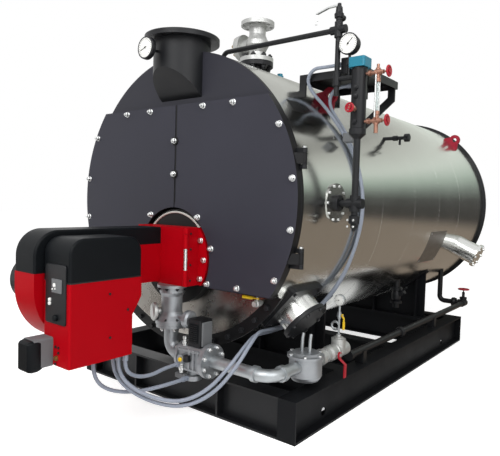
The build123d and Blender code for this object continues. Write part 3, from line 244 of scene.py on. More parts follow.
@dataclass(frozen=True)
class SheetFinish(Finish):
    """Thin polished sheet: long shallow waves all over, and a crumple that grows with height."""

    wave_mm: float = 1.2
    wave_size: float = 340.0
    wave_stretch: Point = (1.0, 0.3, 1.0)
    crumple_mm: float = 2.4
    crumple_size: float = 110.0
    crumple_from: tuple[float, float] = (1.42, 1.80)

    def relief(self, tree: Tree, place: Socket, under: Socket | None = None) -> Socket:
        """Adds the sheet's waves and crumple under the fine grain.

        Args:
            tree: the material's nodes.
            place: object coordinates.
            under: normal of a coarser relief below the waves.

        Returns:
            The normal of them all.
        """
        along = add_node(tree, "ShaderNodeMapping", {"Vector": place, "Scale": self.wave_stretch})
        wave = noise(tree, along.outputs["Vector"], self.wave_size, 2.0)
        waves = bump(tree, wave, self.wave_mm, 1.0, under)
        low, high = self.crumple_from
        height = add_node(tree, "ShaderNodeSeparateXYZ", {"Vector": place}).outputs["Z"]
        share = add_node(tree, "ShaderNodeMapRange", {"Value": height, "From Min": low, "From Max": high})
        dents = noise(tree, place, self.crumple_size, 3.0, Distortion=1.4)
        rumple = add_node(tree, "ShaderNodeMath", {0: dents, 1: share.outputs["Result"]},
                          operation="MULTIPLY")
        sheet = bump(tree, rumple.outputs[0], self.crumple_mm, 1.0, waves)
        return super().relief(tree, place, sheet)


# Satin enamel on the flue, pipes, covers and black bolts: near black, faint orange peel.
BLACK_PAINT = Finish(
    "satin_black_enamel", "#111214", "#191A1D", gloss=(0.36, 0.48), grain=7, depth=0.12, shine=0.26)
# Flat black primer on the skid and saddles, with little shine.
SKID_PAINT = Finish(
    "flat_black_primer", "#0C0D0F", "#141518", gloss=(0.5, 0.62), grain=7, depth=0.12, shine=0.1)
# Powder coat on the doors: bluish charcoal with a fine even texture that softens highlights. Its near-black
# edge colour is painted shade on the doors' sides and back.
DOOR_PAINT = Finish("charcoal_coat_and_edge_shade", "#2A2A32", "#33333D", gloss=(0.42, 0.52), tone=420, grain=2.5,
                    shine=0.24, edge="#0A0A0C")
# The same coat on the fixed plate above the doors, with the same near-black painted shade on the rim's sides,
# behind its front face at y 37.
FRONT_PAINT = replace(
    DOOR_PAINT, name="charcoal_plate_coat_and_edge_shade", colour="#28282F", second="#303038", face_y=37.0)
# Thin polished sheet over insulation: mirror bands that waver where the sheet is not quite flat.
JACKET = SheetFinish("polished_stainless_sheet", "#C2C3C0", "#CFD0CD", metal=1.0, gloss=(0.14, 0.22),
                     tone=260, grain=40, depth=0.06, brush=Brush.ALONG)
# Thick rolled cladding of the nozzles: bright and even, with no waves.
NOZZLE = Finish(
    "bright_rolled_cladding", "#D2D3D0", "#DEDFDC", metal=1.0, gloss=(0.2, 0.3), tone=120, grain=30)
# Polished panel whose upright lines draw out what it mirrors.
PANEL = Finish("mirror_stainless_panel", "#9B9893", "#B3B0AB", metal=1.0, gloss=(0.22, 0.32), tone=160,
               grain=34, depth=0.45, brush=Brush.UPRIGHT)
# Hot-rolled plate: matt, with blotches of scale and soot.
PLATE = Finish("sooted_boiler_plate", "#26241F", "#3B3834", metal=0.2, gloss=(0.6, 0.8), tone=60,
               grain=4, depth=0.3, shine=0.2)
# Baked red enamel: deep and saturated, with a soft sheen.
RED_ENAMEL = Finish(
    "red_baked_enamel", "#A00310", "#AA0613", gloss=(0.34, 0.44), tone=300, grain=5, shine=0.04)
# Moulded ABS hood with a fine leather grain.
HOOD = Finish(
    "black_moulded_abs", "#0B0D0F", "#111417", gloss=(0.38, 0.48), grain=1.6, depth=0.09, shine=0.1)
# Sand-cast metal with aluminium paint: mid grey, grainy.
CAST = Finish(
    "sand_cast_silver", "#A5A6A4", "#BCBDBB", metal=0.65, gloss=(0.36, 0.52), tone=40, grain=3.2, depth=0.28)
# The same casting unpainted and handled, a darker grey.
GAS_CAST = replace(
    CAST, name="bare_cast_alloy", colour="#83868A", second="#9EA1A4", metal=0.7, gloss=(0.34, 0.5))
# Hot-dip zinc: mottled pale grey.
ZINC = Finish(
    "hot_dip_zinc", "#94999C", "#B2B6B8", metal=0.85, gloss=(0.34, 0.5), tone=18, grain=6, depth=0.08)
# Bright zinc plate on nuts: small sharp highlights.
NUTS = Finish(
    "bright_zinc_plate", "#C9CBCB", "#DADBDA", metal=0.9, gloss=(0.22, 0.34), tone=12, grain=2, depth=0.03)
# Cast bronze that has gone pinkish brown.
BRONZE = Finish(
    "weathered_bronze", "#8A6253", "#A97F6C", metal=0.75, gloss=(0.30, 0.44), tone=22, grain=2, depth=0.08)
# Turned brass that has dulled.
BRASS = Finish("dulled_brass", "#8F7440", "#A88C58", metal=0.9, gloss=(0.30, 0.44), tone=25, grain=2)
# Drawn clear glass tube.
GLASS = Finish("clear_gauge_glass", "#EEF6F5", "#F4FAF9", gloss=(0.02, 0.04), depth=0.01, clear=0.75)
# Enamel on the cast head, a clear blue-green.
TEAL = Finish("teal_enamel", "#1B6E86", "#277E95", gloss=(0.3, 0.4), grain=5, shine=0.3)
# Thick crimson gloss on small cast wheels.
WHEEL_RED = Finish("crimson_wheel_paint", "#941322", "#A81A2A", gloss=(0.3, 0.42), grain=4, shine=0.3)
# Flatter crimson primer on the lifting lugs.
LUG_RED = Finish("crimson_primer", "#8A1428", "#9B1E32", gloss=(0.42, 0.55), grain=4, shine=0.2)
# Dipped vinyl sleeve, even and slightly soft.
YELLOW = Finish("yellow_vinyl_grip", "#DDB414", "#E8C22C", gloss=(0.35, 0.45), shine=0.3)
# Glass-filled nylon: flat mid grey.
SERVO = Finish(
    "grey_glass_filled_nylon", "#606264", "#6F7173", gloss=(0.5, 0.6), grain=1.5, depth=0.08, shine=0.25)
# Pressed gauge case in black enamel.
CASE = Finish("black_gauge_case", "#121315", "#1B1C1F", gloss=(0.3, 0.4), grain=4, shine=0.3)
# White enamel dial, even and clean.
DIAL = Finish("white_dial_enamel", "#E4E4E0", "#ECECE9", gloss=(0.3, 0.36), depth=0.01, shine=0.3)
# Printed marks, flat black.
INK = Finish("black_dial_ink", "#121212", "#1A1A1A", depth=0.01, shine=0.2)
# Flat black on the throat, the seam's clamps and the small plate, as even as the ink.
FLAT_BLACK = replace(INK, name="flat_black_paint")
# Smooth sheath over a steel spiral: cool mid grey.
CONDUIT = Finish(
    "grey_sheathed_conduit", "#7E8592", "#8F96A3", gloss=(0.38, 0.48), tone=90, grain=4, shine=0.4)
# Braided rope, pale and fibrous.
GASKET = Finish("braided_rope_gasket", "#B9B8B2", "#CDCCC5", gloss=(0.8, 0.9), tone=8, depth=0.6)
# Etched plate gone brown.
TAG = Finish("dark_etched_plate", "#4C4740", "#59534B", metal=0.25, gloss=(0.35, 0.45), tone=40)

# Nodes that are not named here are in black paint, and the conduits in their sheath.
NODE_FINISH: dict[str, Finish] = {
    "door_right": DOOR_PAINT, "door_left": DOOR_PAINT, "smokebox_front": FRONT_PAINT,
    "shell_jacket": JACKET, "smokebox_wall": JACKET, "handhole_pad": JACKET, "clad_nozzles": NOZZLE,
    "lower_front_panel": PANEL, "tube_sheet": PLATE, "furnace_throat": FLAT_BLACK,
    "burner_housing": RED_ENAMEL, "burner_body": RED_ENAMEL, "burner_covers": HOOD, "damper_servo": SERVO,
    "steam_valve": CAST, "gas_ball_valve": CAST, "front_cock": CAST, "gas_inlet_valve": GAS_CAST,
    "gas_valve_block": GAS_CAST, "gas_filter": GAS_CAST, "gas_gauge": ZINC, "gas_pipe": ZINC,
    "safety_lever": NUTS, "gauge_cocks": BRONZE, "gauge_glass": GLASS, "column_head": TEAL, "top_vent": TEAL,
    "cock_wheels": WHEEL_RED, "feed_wheel": WHEEL_RED, "gas_lever": WHEEL_RED, "lifting_lugs": LUG_RED,
    "gauge_lever": YELLOW, "front_cock_lever": YELLOW, "flue_thermometer": CASE, "pressure_gauge": CASE,
    "conduit_glands": CONDUIT, "skid_side_beams": SKID_PAINT, "skid_cross_beams": SKID_PAINT,
    "saddles": SKID_PAINT,
}


def basis(axes: Array) -> Array:
    """Turns each axis into a square frame whose third column is that axis.

    Args:
        axes: directions, shape (n, 3).

    Returns:
        Rotations, shape (n, 3, 3); the first column is level unless the axis is upright.
    """
    z = axes / np.linalg.norm(axes, axis=1, keepdims=True)
    helper = np.where(np.abs(z[:, 2:3]) < 0.9, [[0.0, 0.0, 1.0]], [[1.0, 0.0, 0.0]])
    x = np.cross(helper, z)
    x /= np.linalg.norm(x, axis=1, keepdims=True)
    return np.stack([x, np.cross(z, x), z], axis=2)


@dataclass(frozen=True)
class Surface:
    """Points in mm and the faces over them, kept in one array per number of corners."""

    points: Array
    faces: tuple[Array, ...]

    def joined(self, *others: "Surface") -> "Surface":
        """Puts surfaces side by side in one.

        Args:
            others: the surfaces that follow this one.

        Returns:
            One surface that holds them all.
        """
        parts = (self, *others)
        starts = np.cumsum([0] + [len(p.points) for p in parts[:-1]])
        faces = tuple(f + s for p, s in zip(parts, starts) for f in p.faces)
        return Surface(np.concatenate([p.points for p in parts]), faces)

    def at(self, origins: Rows, axes: Rows) -> "Surface":
        """Copies the surface to each origin, its own Z turned to that axis.

        Args:
            origins: places of the copies, shape (n, 3) or (3,).
            axes: directions of the copies, shape (n, 3) or (3,).

        Returns:
            One surface with all the copies.
        """
        origins = np.atleast_2d(np.asarray(origins, float))
        axes = np.broadcast_to(np.asarray(axes, float), origins.shape)
        points = np.einsum("nij,kj->nki", basis(axes), self.points) + origins[:, None, :]
        shift = (np.arange(len(origins)) * len(self.points))[:, None, None]
        faces = tuple((f[None] + shift).reshape(-1, f.shape[1]) for f in self.faces)
        return Surface(points.reshape(-1, 3), faces)


def skin(points: Array, ends: bool = True) -> Surface:
    """Skins rows of points whose columns wrap round.

    Args:
        points: array of shape (rows, columns, 3).
        ends: caps the first and last row; otherwise the rows wrap round too.

    Returns:
        A closed surface.
    """
    rows, cols, _ = points.shape
    index = np.arange(rows * cols).reshape(rows, cols)
    if not ends:
        index = np.concatenate([index, index[:1]])
    turn = np.roll(index, -1, axis=1)
    quads = np.stack([index[:-1], turn[:-1], turn[1:], index[1:]], axis=-1).reshape(-1, 4)
    faces = (quads, index[:1, ::-1], index[-1:]) if ends else (quads,)
    return Surface(points.reshape(-1, 3), faces)


def lathe(profile: Rows, sides: int = 32) -> Surface:
    """Turns a profile about Z: a point (r, h) goes round as r cos t, r sin t, h.

    Args:
        profile: rows of radius and height.
        sides: steps round the circle.

    Returns:
        A closed turned surface.
    """
    r, h = np.asarray(profile, float).T
    t = np.linspace(0, 2 * np.pi, sides, endpoint=False)
    height = np.outer(h, np.ones(sides))
    return skin(np.stack([np.outer(r, np.cos(t)), np.outer(r, np.sin(t)), height], axis=-1))


def prism(half_w: float, half_h: float, radius: float, levels: Rows, corner: int = 5) -> Surface:
    """Stacks rounded rectangles along Z: a level (inset, height) shrinks the outline by inset at that height.

    Args:
        half_w: half width along X.
        half_h: half width along Y.
        radius: corner radius of the outline.
        levels: rows of inset and height.
        corner: points round each corner.

    Returns:
        A closed block with rounded edges.
    """
    t = np.concatenate([np.linspace(0, np.pi / 2, corner) + k * np.pi / 2 for k in range(4)])
    sign = np.repeat([[1, 1], [-1, 1], [-1, -1], [1, -1]], corner, axis=0)
    inset, height = np.asarray(levels, float).T
    r = np.maximum(radius - inset, 0.2)[:, None]
    x = sign[:, 0] * (half_w - inset[:, None] - r) + r * np.cos(t)
    y = sign[:, 1] * (half_h - inset[:, None] - r) + r * np.sin(t)
    return skin(np.stack([x, y, np.broadcast_to(height[:, None], x.shape)], axis=-1))


def hoop(radius: float, section: Rows, centre: Point, steps: int) -> Surface:
    """Carries a section round Y: (out, along) becomes radius + out on the circle and along on the axis.

    Args:
        radius: circle that the section rides on.
        section: rows of out and along, in order round the section.
        centre: middle of the circle.
        steps: steps round it.

    Returns:
        A closed ring that faces along Y.
    """
    out, along = np.asarray(section, float).T
    t = np.linspace(0, 2 * np.pi, steps, endpoint=False)
    r = np.broadcast_to(radius + out, (steps, len(out)))
    y = np.broadcast_to(along, r.shape)
    ring = np.stack([r * np.cos(t)[:, None], y, r * np.sin(t)[:, None]], axis=-1)
    return skin(ring + np.asarray(centre), ends=False)


def tube(path: Rows, radius: float, sides: int = 14) -> Surface:
    """Carries a circle along a path, square to it at each point.

    Args:
        path: rows of x, y, z.
        radius: radius of the circle.
        sides: points round it.

    Returns:
        A closed tube with flat ends.
    """
    path = np.asarray(path, float)
    frames = basis(np.gradient(path, axis=0))
    t = np.linspace(0, 2 * np.pi, sides, endpoint=False)
    ring = radius * np.stack([np.cos(t), np.sin(t), 0 * t], axis=-1)
    return skin(np.einsum("nij,kj->nki", frames, ring) + path[:, None, :])


def shell_plate(y: tuple[float, float], z: tuple[float, float], thick: float) -> Surface:
    """Thin plate bent to the shell: an arc section at the jacket's radius, carried along Y.

    Args:
        y: ends along the shell.
        z: lower and upper edge on the right-hand side.
        thick: how far it stands off the jacket.

    Returns:
        A closed curved plate.
    """
    steps = 14
    t = np.arcsin(np.linspace(z[0], z[1], steps) / JACKET_R)
    around = np.concatenate([t, t[::-1]])
    r = np.repeat([JACKET_R + thick, JACKET_R - 1.0], steps)
    section = np.stack([r * np.cos(around), 0 * r, r * np.sin(around)], axis=-1)
    return skin(np.stack([section + [0, y[0], 0], section + [0, y[1], 0]]))


def circle_spots(centre: Point, axis: Point, radius: float, degrees: Rows) -> Array:
    """Places on a circle square to an axis, by the frame that basis gives it.

    Args:
        centre: middle of the circle.
        axis: direction that the circle faces.
        radius: pitch radius.
        degrees: angles of the places.

    Returns:
        Rows of x, y, z.
    """
    turn = basis(np.asarray([axis], float))[0]
    t = np.radians(np.asarray(degrees, float))
    flat = radius * np.stack([np.cos(t), np.sin(t), 0 * t], axis=-1)
    return flat @ turn.T + np.asarray(centre, float)


@dataclass(frozen=True)
class Fastener:
    """A hexagon nut or head on its washer, with a stud that may stand through it."""

    across: float
    height: float
    washer: float = 0.0
    stud: float = 0.0

    def surface(self) -> Surface:
        """Builds washer, chamfered hexagon and stud on Z, from the face that it sits on.

        Returns:
            The joined surface, a few dozen faces.
        """
        r = self.across / math.sqrt(3)
        base = 3.0 if self.washer else 0.0
        top = base + self.height
        body = lathe([(r, base), (r, top - 0.12 * self.height), (r * 0.86, top)], 6)
        if self.washer:
            w = self.washer
            body = body.joined(lathe([(w, -0.3), (w, base - 0.5), (w - 0.6, base)], 18))
        if self.stud:
            s = self.across * 0.3
            end = top + self.stud
            body = body.joined(lathe([(s, top - 1.0), (s, end - 1.5), (s * 0.8, end)], 10))
        return body


DOOR_NUT = Fastener(23, 14, washer=16, stud=9)
PLATE_BOLT = Fastener(24, 11, washer=15)
SMALL_BOLT = Fastener(17, 9)
SCREW = Fastener(10, 5)
SHARP_DEGREES = 32.0


def bolt_ring(bolt: Fastener, centre: Point, axis: Point, pitch: float, count: int,
              start: float = 0.0) -> Surface:
    """Sets like fasteners evenly round a circle.

    Args:
        bolt: the fastener.
        centre: middle of the circle.
        axis: direction that the heads face.
        pitch: radius of the circle.
        count: number of fasteners.
        start: angle of the first one, in degrees.

    Returns:
        One surface with all of them.
    """
    degrees = start + np.arange(count) * 360 / count
    return bolt.surface().at(circle_spots(centre, axis, pitch, degrees), axis)


def piece(name: str, surface: Surface, finish: Finish, body: str = "boiler") -> None:
    """Makes a surface a mesh object at the origin, normals outwards, that rides on a body.

    Args:
        name: name of the piece.
        surface: its points and faces.
        finish: what it is made of.
        body: the CAD body that carries it.
    """
    mesh = bpy.data.meshes.new(name)
    faces = [row for rows in surface.faces for row in rows.tolist()]
    mesh.from_pydata(shared(surface.points).tolist(), [], faces)
    work = bmesh.new()
    work.from_mesh(mesh)
    bmesh.ops.recalc_face_normals(work, faces=work.faces)
    work.to_mesh(mesh)
    work.free()
    mesh.polygons.foreach_set("use_smooth", np.ones(len(mesh.polygons), bool))
    mesh.set_sharp_from_angle(angle=math.radians(SHARP_DEGREES))
    mesh.materials.append(finish.material())
    made = bpy.data.objects.new(name, mesh)
    bpy.context.scene.collection.objects.link(made)
    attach(made, body)
    log.info("%s: %d faces on %s", name, len(mesh.polygons), body)


@dataclass
class Studio:
    """Camera at the photograph's angle, pale floor, soft light and the cards that polished metal mirrors."""

    eye: Point = (2.05694, -3.24762, 1.12063)
    azimuth: float = 38.03
    elevation: float = 2.991
    roll: float = 1.69
    lens: float = 37.475
    card_z: float = 0.004
    floor_lift: float = 0.56

    def build(self) -> None:
        """Makes camera, world, floor, lamps and cards."""
        self.camera()
        self.world()
        self.floor()
        self.lamp("key_light", (1.2, -6.6, 5.4), (0.0, -0.8, 1.0), size=4.0, power=300.0)
        self.lamp("fill_light", (5.5, -3.5, 4.4), (0.3, 0.0, 1.0), size=4.0, power=175.0)
        self.card("wall_card", [(-6, 7, 0), (9, 7, 0), (9, 7, 9), (-6, 7, 9)],
                  {0.0: "#8F8478", 0.5: "#4A4845", 1.5: "#565653", 2.05: "#89928A", 2.7: "#C6D6C8",
                   3.3: "#F0F8EE", 4.4: "#DADCD4", 5.4: "#A9A9A3", 6.4: "#DEDFDA", 9.0: "#CFCFCA"})
        for name, (x0, y0), (x1, y1), colour in (
                ("far_floor_card", (0.9, -0.7), (9, 7), "#978A7C"),
                ("rear_floor_card", (-2, 1.35), (0.9, 7), "#978A7C"),
                ("near_floor_card", (-3.5, -6), (1.2, -2.3), "#8A827C")):
            corners = [(x, y, self.card_z) for x, y in ((x0, y0), (x1, y0), (x1, y1), (x0, y1))]
            self.card(name, corners, {0.0: colour, 1.0: colour})

    def camera(self) -> None:
        """Points the camera by azimuth, elevation and roll: columns are right, up and back."""
        a, e, r = np.radians([self.azimuth, self.elevation, self.roll])
        back = np.array([np.sin(a) * np.cos(e), -np.cos(a) * np.cos(e), np.sin(e)])
        right = np.cross(-back, [0, 0, 1])
        right /= np.linalg.norm(right)
        up = np.cross(right, -back)
        turn = np.eye(4)
        turn[:3, 0] = np.cos(r) * right + np.sin(r) * up
        turn[:3, 1] = -np.sin(r) * right + np.cos(r) * up
        turn[:3, 2] = back
        turn[:3, 3] = self.eye
        data = bpy.data.cameras.new("photo_camera")
        data.lens = self.lens
        data.sensor_width = 36.0
        data.sensor_fit = "HORIZONTAL"
        view = bpy.data.objects.new("photo_camera", data)
        bpy.context.scene.collection.objects.link(view)
        view.matrix_world = Matrix(turn.tolist())
        bpy.context.scene.camera = view

    def seen(self, tree: Tree) -> Socket:
        """One for rays from the camera, mirrored or refracted, nought for the light on the object.

        Args:
            tree: nodes of the world or of the floor.

        Returns:
            The socket with that value.
        """
        path = add_node(tree, "ShaderNodeLightPath").outputs
        first = add_node(tree, "ShaderNodeMath", {0: path["Is Camera Ray"], 1: path["Is Glossy Ray"]},
                         operation="MAXIMUM").outputs[0]
        return add_node(tree, "ShaderNodeMath", {0: first, 1: path["Is Transmission Ray"]},
                        operation="MAXIMUM").outputs[0]

    def world(self) -> None:
        """White to the camera, mirrors and glass; a plain level of light to everything else."""
        bpy.context.scene.view_settings.view_transform = "Standard"
        sky = bpy.data.worlds.new("studio")
        bpy.context.scene.world = sky
        sky.use_nodes = True
        tree = sky.node_tree
        level = add_node(tree, "ShaderNodeMapRange", {"Value": self.seen(tree), "To Min": 0.5, "To Max": 1.0})
        light = tree.nodes["Background"].inputs
        tree.links.new(level.outputs["Result"], light["Strength"])
        light["Color"].default_value = linear("#FFFFFF")

    def floor(self) -> None:
        """A large pale floor just under the skid; the eye sees it lifted to white, with the shadow on it."""
        made = self.sheet("floor", [(-30, -30, 0), (30, -30, 0), (30, 30, 0), (-30, 30, 0)])
        tree = made.data.materials[0].node_tree
        shader = tree.nodes["Principled BSDF"].inputs
        shader["Base Color"].default_value = linear("#F4F4F3")
        shader["Roughness"].default_value = 0.9
        shader["Specular IOR Level"].default_value = 0.0
        shader["Emission Color"].default_value = linear("#FFFFFF")
        lift = add_node(tree, "ShaderNodeMath", {0: self.seen(tree), 1: self.floor_lift},
                        operation="MULTIPLY")
        tree.links.new(lift.outputs[0], shader["Emission Strength"])

    def card(self, name: str, corners: list[Point], tones: dict[float, str]) -> None:
        """A flat card beyond the boiler that only the polished metal mirrors.

        Args:
            name: name of the card.
            corners: its four corners, in metres.
            tones: height in metres to the colour there; a level card has one.
        """
        made = self.sheet(name, corners)
        tree = made.data.materials[0].node_tree
        place = add_node(tree, "ShaderNodeTexCoord").outputs["Object"]
        top = max(tones)
        level = add_node(tree, "ShaderNodeSeparateXYZ", {"Vector": place}).outputs["Z"]
        share = add_node(tree, "ShaderNodeMapRange", {"Value": level, "From Max": top})
        ramp = add_node(tree, "ShaderNodeValToRGB", {"Fac": share.outputs["Result"]})
        stops = ramp.color_ramp.elements
        for height, colour in tones.items():
            stop = stops[0] if height == 0.0 else stops[-1] if height == top else stops.new(height / top)
            stop.color = linear(colour)
        glow = add_node(tree, "ShaderNodeEmission", {"Color": ramp.outputs["Color"], "Strength": 1.0})
        tree.links.new(glow.outputs["Emission"], tree.nodes["Material Output"].inputs["Surface"])
        made.visible_camera = False
        made.visible_shadow = False
        made.visible_diffuse = False
        made.visible_transmission = False

    def sheet(self, name: str, corners: list[Point]) -> bpy.types.Object:
        """A flat sheet of the studio with a material of its own.

        Args:
            name: name of the sheet.
            corners: its four corners, in metres.

        Returns:
            The sheet.
        """
        mesh = bpy.data.meshes.new(name)
        mesh.from_pydata(corners, [], [(0, 1, 2, 3)])
        paint = bpy.data.materials.new(name)
        paint.use_nodes = True
        mesh.materials.append(paint)
        made = bpy.data.objects.new(name, mesh)
        bpy.context.scene.collection.objects.link(made)
        return made

    def lamp(self, name: str, place: Point, aim: Point, size: float, power: float) -> None:
        """A soft square lamp aimed at a point.

        Args:
            name: name of the lamp.
            place: where it hangs, in metres.
            aim: the point that it faces.
            size: side of the square, in metres.
            power: watts.
        """
        data = bpy.data.lights.new(name, "AREA")
        data.size = size
        data.energy = power
        made = bpy.data.objects.new(name, data)
        bpy.context.scene.collection.objects.link(made)
        turn = np.eye(4)
        turn[:3, :3] = basis(np.array([np.subtract(place, aim)]))[0]
        turn[:3, 3] = place
        made.matrix_world = Matrix(turn.tolist())


# Route points of each conduit in mm, by its node, and its length in metres.
ROUTES: dict[str, tuple[list[Point], float]] = {
    "conduit_shelf_upper": ([
        (112, -470, -738), (112, -470, -800), (165, -428, -885), (275, -360, -940), (405, -290, -945),
        (520, -220, -870), (588, -150, -750), (592, -50, -655), (552, 60, -632), (508, 175, -655),
        (500, 300, -662), (524, 425, -648), (590, 520, -592), (665, 568, -487), (735, 592, -355),
        (785, 606, -205), (808, 615, -50), (805, 610, 95), (772, 590, 235), (705, 545, 392),
        (632, 490, 515), (578, 440, 585), (560, 403, 650), (605, 393, 702), (672, 400, 702),
        (738, 400, 702)], 3.10),
    "conduit_shelf_lower": ([
        (150, -470, -738), (150, -470, -795), (200, -432, -868), (300, -362, -915), (410, -302, -915),
        (505, -232, -848), (563, -160, -742), (566, -52, -668), (526, 60, -655), (480, 178, -676),
        (471, 300, -684), (494, 432, -672), (566, 540, -616), (648, 596, -508), (716, 618, -380),
        (765, 632, -235), (798, 640, -75), (797, 636, 70), (768, 616, 228), (716, 580, 378),
        (664, 545, 468), (640, 520, 522), (640, 513, 577), (680, 510, 620), (748, 510, 620)], 2.87),
    "conduit_valve_loop": ([
        (86, -560, -738), (86, -560, -800), (95, -515, -870), (125, -430, -908), (165, -330, -916),
        (240, -235, -892), (240, -144, -892)], 0.55),
    "conduit_valve_short": ([
        (180, -454, -738), (180, -454, -785), (186, -395, -828), (195, -310, -840), (206, -235, -820),
        (206, -158, -820)], 0.36),
}


@dataclass
class Conduits:
    """Four grey sheathed conduits from the burner's control box to the shelf and the gas valves."""

    diameter: float = 18.0

    def build(self) -> None:
        for name, (route, length) in ROUTES.items():
            points = shared(np.array(route))
            line = bpy.data.curves.new(name + "_sheath", "CURVE")
            line.dimensions = "3D"
            line.bevel_depth = self.diameter * 0.0005
            line.bevel_resolution = 5
            line.use_fill_caps = True
            spline = line.splines.new("NURBS")
            spline.points.add(len(points) - 1)
            spline.points.foreach_set("co", np.c_[points, np.ones(len(points))].ravel())
            spline.order_u = 3
            spline.use_endpoint_u = True
            spline.resolution_u = 10
            line.materials.append(CONDUIT.material())
            made = bpy.data.objects.new(name + "_sheath", line)
            bpy.context.scene.collection.objects.link(made)
            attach(made, "boiler")
            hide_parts(name)
            log.info("%s laid", name)


@dataclass
class DoorHardware:
    """Nuts on the two doors, the clamps on their seam, hinge nuts, rope gasket and the lower ring's bolts."""

    pitch_r: float = 768.0
    cut_r: float = 284.0
    rope_r: float = 240.0
    ring_r: float = 778.0
    ring_y: float = 80.0
    hinge_x: float = 785.0
    clamp_mm: float = 7.0

    def spots(self, side: int) -> Array:
        """Places of one door's nuts on its front face.

        Args:
            side: 1 for the right door, -1 for the left.

        Returns:
            Rows of x, y, z.
        """
        edge = np.array([361.0, 114.0, -120.0, -360.0])
        rim = np.stack([np.sqrt(self.pitch_r**2 - edge**2), 0 * edge, edge], axis=-1)
        cut = circle_spots((0, 0, THROAT_Z), FRONT, self.cut_r, (50.6, 12.8, -25.0))
        rows = np.array([(200, 0, 484), (400, 0, 484), (456, 0, -424)], float)
        return np.concatenate([rim, cut, rows]) * [side, 1, 1]

    def build(self) -> None:
        """Makes the pieces of both doors and of the front."""
        for side, body in ((1, "right_door"), (-1, "left_door")):
            piece(f"{body}_nuts", DOOR_NUT.surface().at(self.spots(side), FRONT), NUTS, body)
        self.seam()
        pins = [(side * self.hinge_x, 50, z) for side in (-1, 1) for z in (252, -205)]
        piece("hinge_nuts", Fastener(18, 9).surface().at(pins, UP), NUTS)
        rope = circle_spots((0, 19, THROAT_Z), FRONT, self.rope_r, np.linspace(30, 150, 60))
        piece("throat_rope", tube(rope, 6.0, 10), GASKET)
        grip = prism(11, 9, 7, [(3, 0), (0, 4), (0, 58), (3, 62)]).at((462, 40, -465.5), RIGHT)
        piece("front_cock_grip", grip, YELLOW, "drain_lever")
        ring = circle_spots((0, self.ring_y, 0), FRONT, self.ring_r, (-72, -64, -56.5, -48.7, -41.2))
        ring = np.concatenate([ring, ring * [-1, 1, 1]])
        piece("lower_ring_bolts", PLATE_BOLT.surface().at(ring, FRONT), BLACK_PAINT)

    def seam(self) -> None:
        """Makes the clamps on the doors' seam and the dark strip along it, which ride on the right door."""
        spots = np.array([(0, 0, 314), (0, 0, 138)], float)
        top = self.clamp_mm
        discs = lathe([(23, -0.3), (23, top - 2), (21, top), (12, top + 0.2)], 28).at(spots, FRONT)
        piece("seam_discs", discs, FLAT_BLACK, "right_door")
        nuts = Fastener(24, 12, washer=15, stud=6).surface().at(spots - [0, top, 0], FRONT)
        piece("seam_nuts", nuts, NUTS, "right_door")
        strip = prism(3.5, 258, 0.6, [(0, -0.5), (0, 0.8), (0.4, 1.0)], 2).at((5.5, 0, 244), FRONT)
        piece("seam_strip", strip, FLAT_BLACK, "right_door")


@dataclass
class ShellTrim:
    """Sheet seams and bare plates on the jacket, the bolts of the nozzles' covers and of the rear head."""

    seams: tuple[float, ...] = (927.0, 1437.0, 1927.0, 2417.0)
    plate_mm: float = 1.6
    head_mm: float = 14.0

    def build(self) -> None:
        """Makes the trim of the shell."""
        lip = [(-1.0, -2.4), (0.1, -1.8), (0.3, 0), (0.1, 1.8), (-1.0, 2.4)]
        bands = [hoop(JACKET_R, lip, (0, y, 0), 160) for y in self.seams]
        piece("jacket_seams", bands[0].joined(*bands[1:]), JACKET)
        piece("bare_plate", shell_plate((1840, 2190), (-418, -182), self.plate_mm), TAG)
        self.plate_screws()
        plate = shell_plate((156, 264), (447, 504), self.plate_mm)
        piece("small_plate", plate, FLAT_BLACK)
        for name, y, angle, reach, pitch, count, start, finish in (
                ("front_drum", 300, -42, 909, 112, 8, 0, BLACK_PAINT),
                ("drum_collar", 300, -42, 801, 162, 4, 45, BLACK_PAINT),
                ("rear_nozzle", 2620, -24, 981, 84, 8, 0, NUTS)):
            out = (math.cos(math.radians(angle)), 0.0, math.sin(math.radians(angle)))
            face = (out[0] * reach, y, out[2] * reach)
            piece(name + "_bolts", bolt_ring(SMALL_BOLT, face, out, pitch, count, start), finish)
        bolts = bolt_ring(PLATE_BOLT, (0, SHELL_END + self.head_mm, 0), BACK, 600, 24)
        piece("rear_head_bolts", bolts, BLACK_PAINT)

    def plate_screws(self) -> None:
        """Makes the small round screws at the corners of the bare plate, square to the shell."""
        y, z = np.array([(y, z) for y in (1856, 2174) for z in (-404, -196)], float).T
        t = np.arcsin(z / JACKET_R)
        out = np.stack([np.cos(t), 0 * t, np.sin(t)], axis=-1)
        feet = out * (JACKET_R + self.plate_mm - 0.2) + np.outer(y, BACK)
        screws = lathe([(5, -0.5), (5, 1.4), (3.6, 2.6), (1, 3.0)], 12).at(feet, out)
        piece("bare_plate_screws", screws, NUTS)


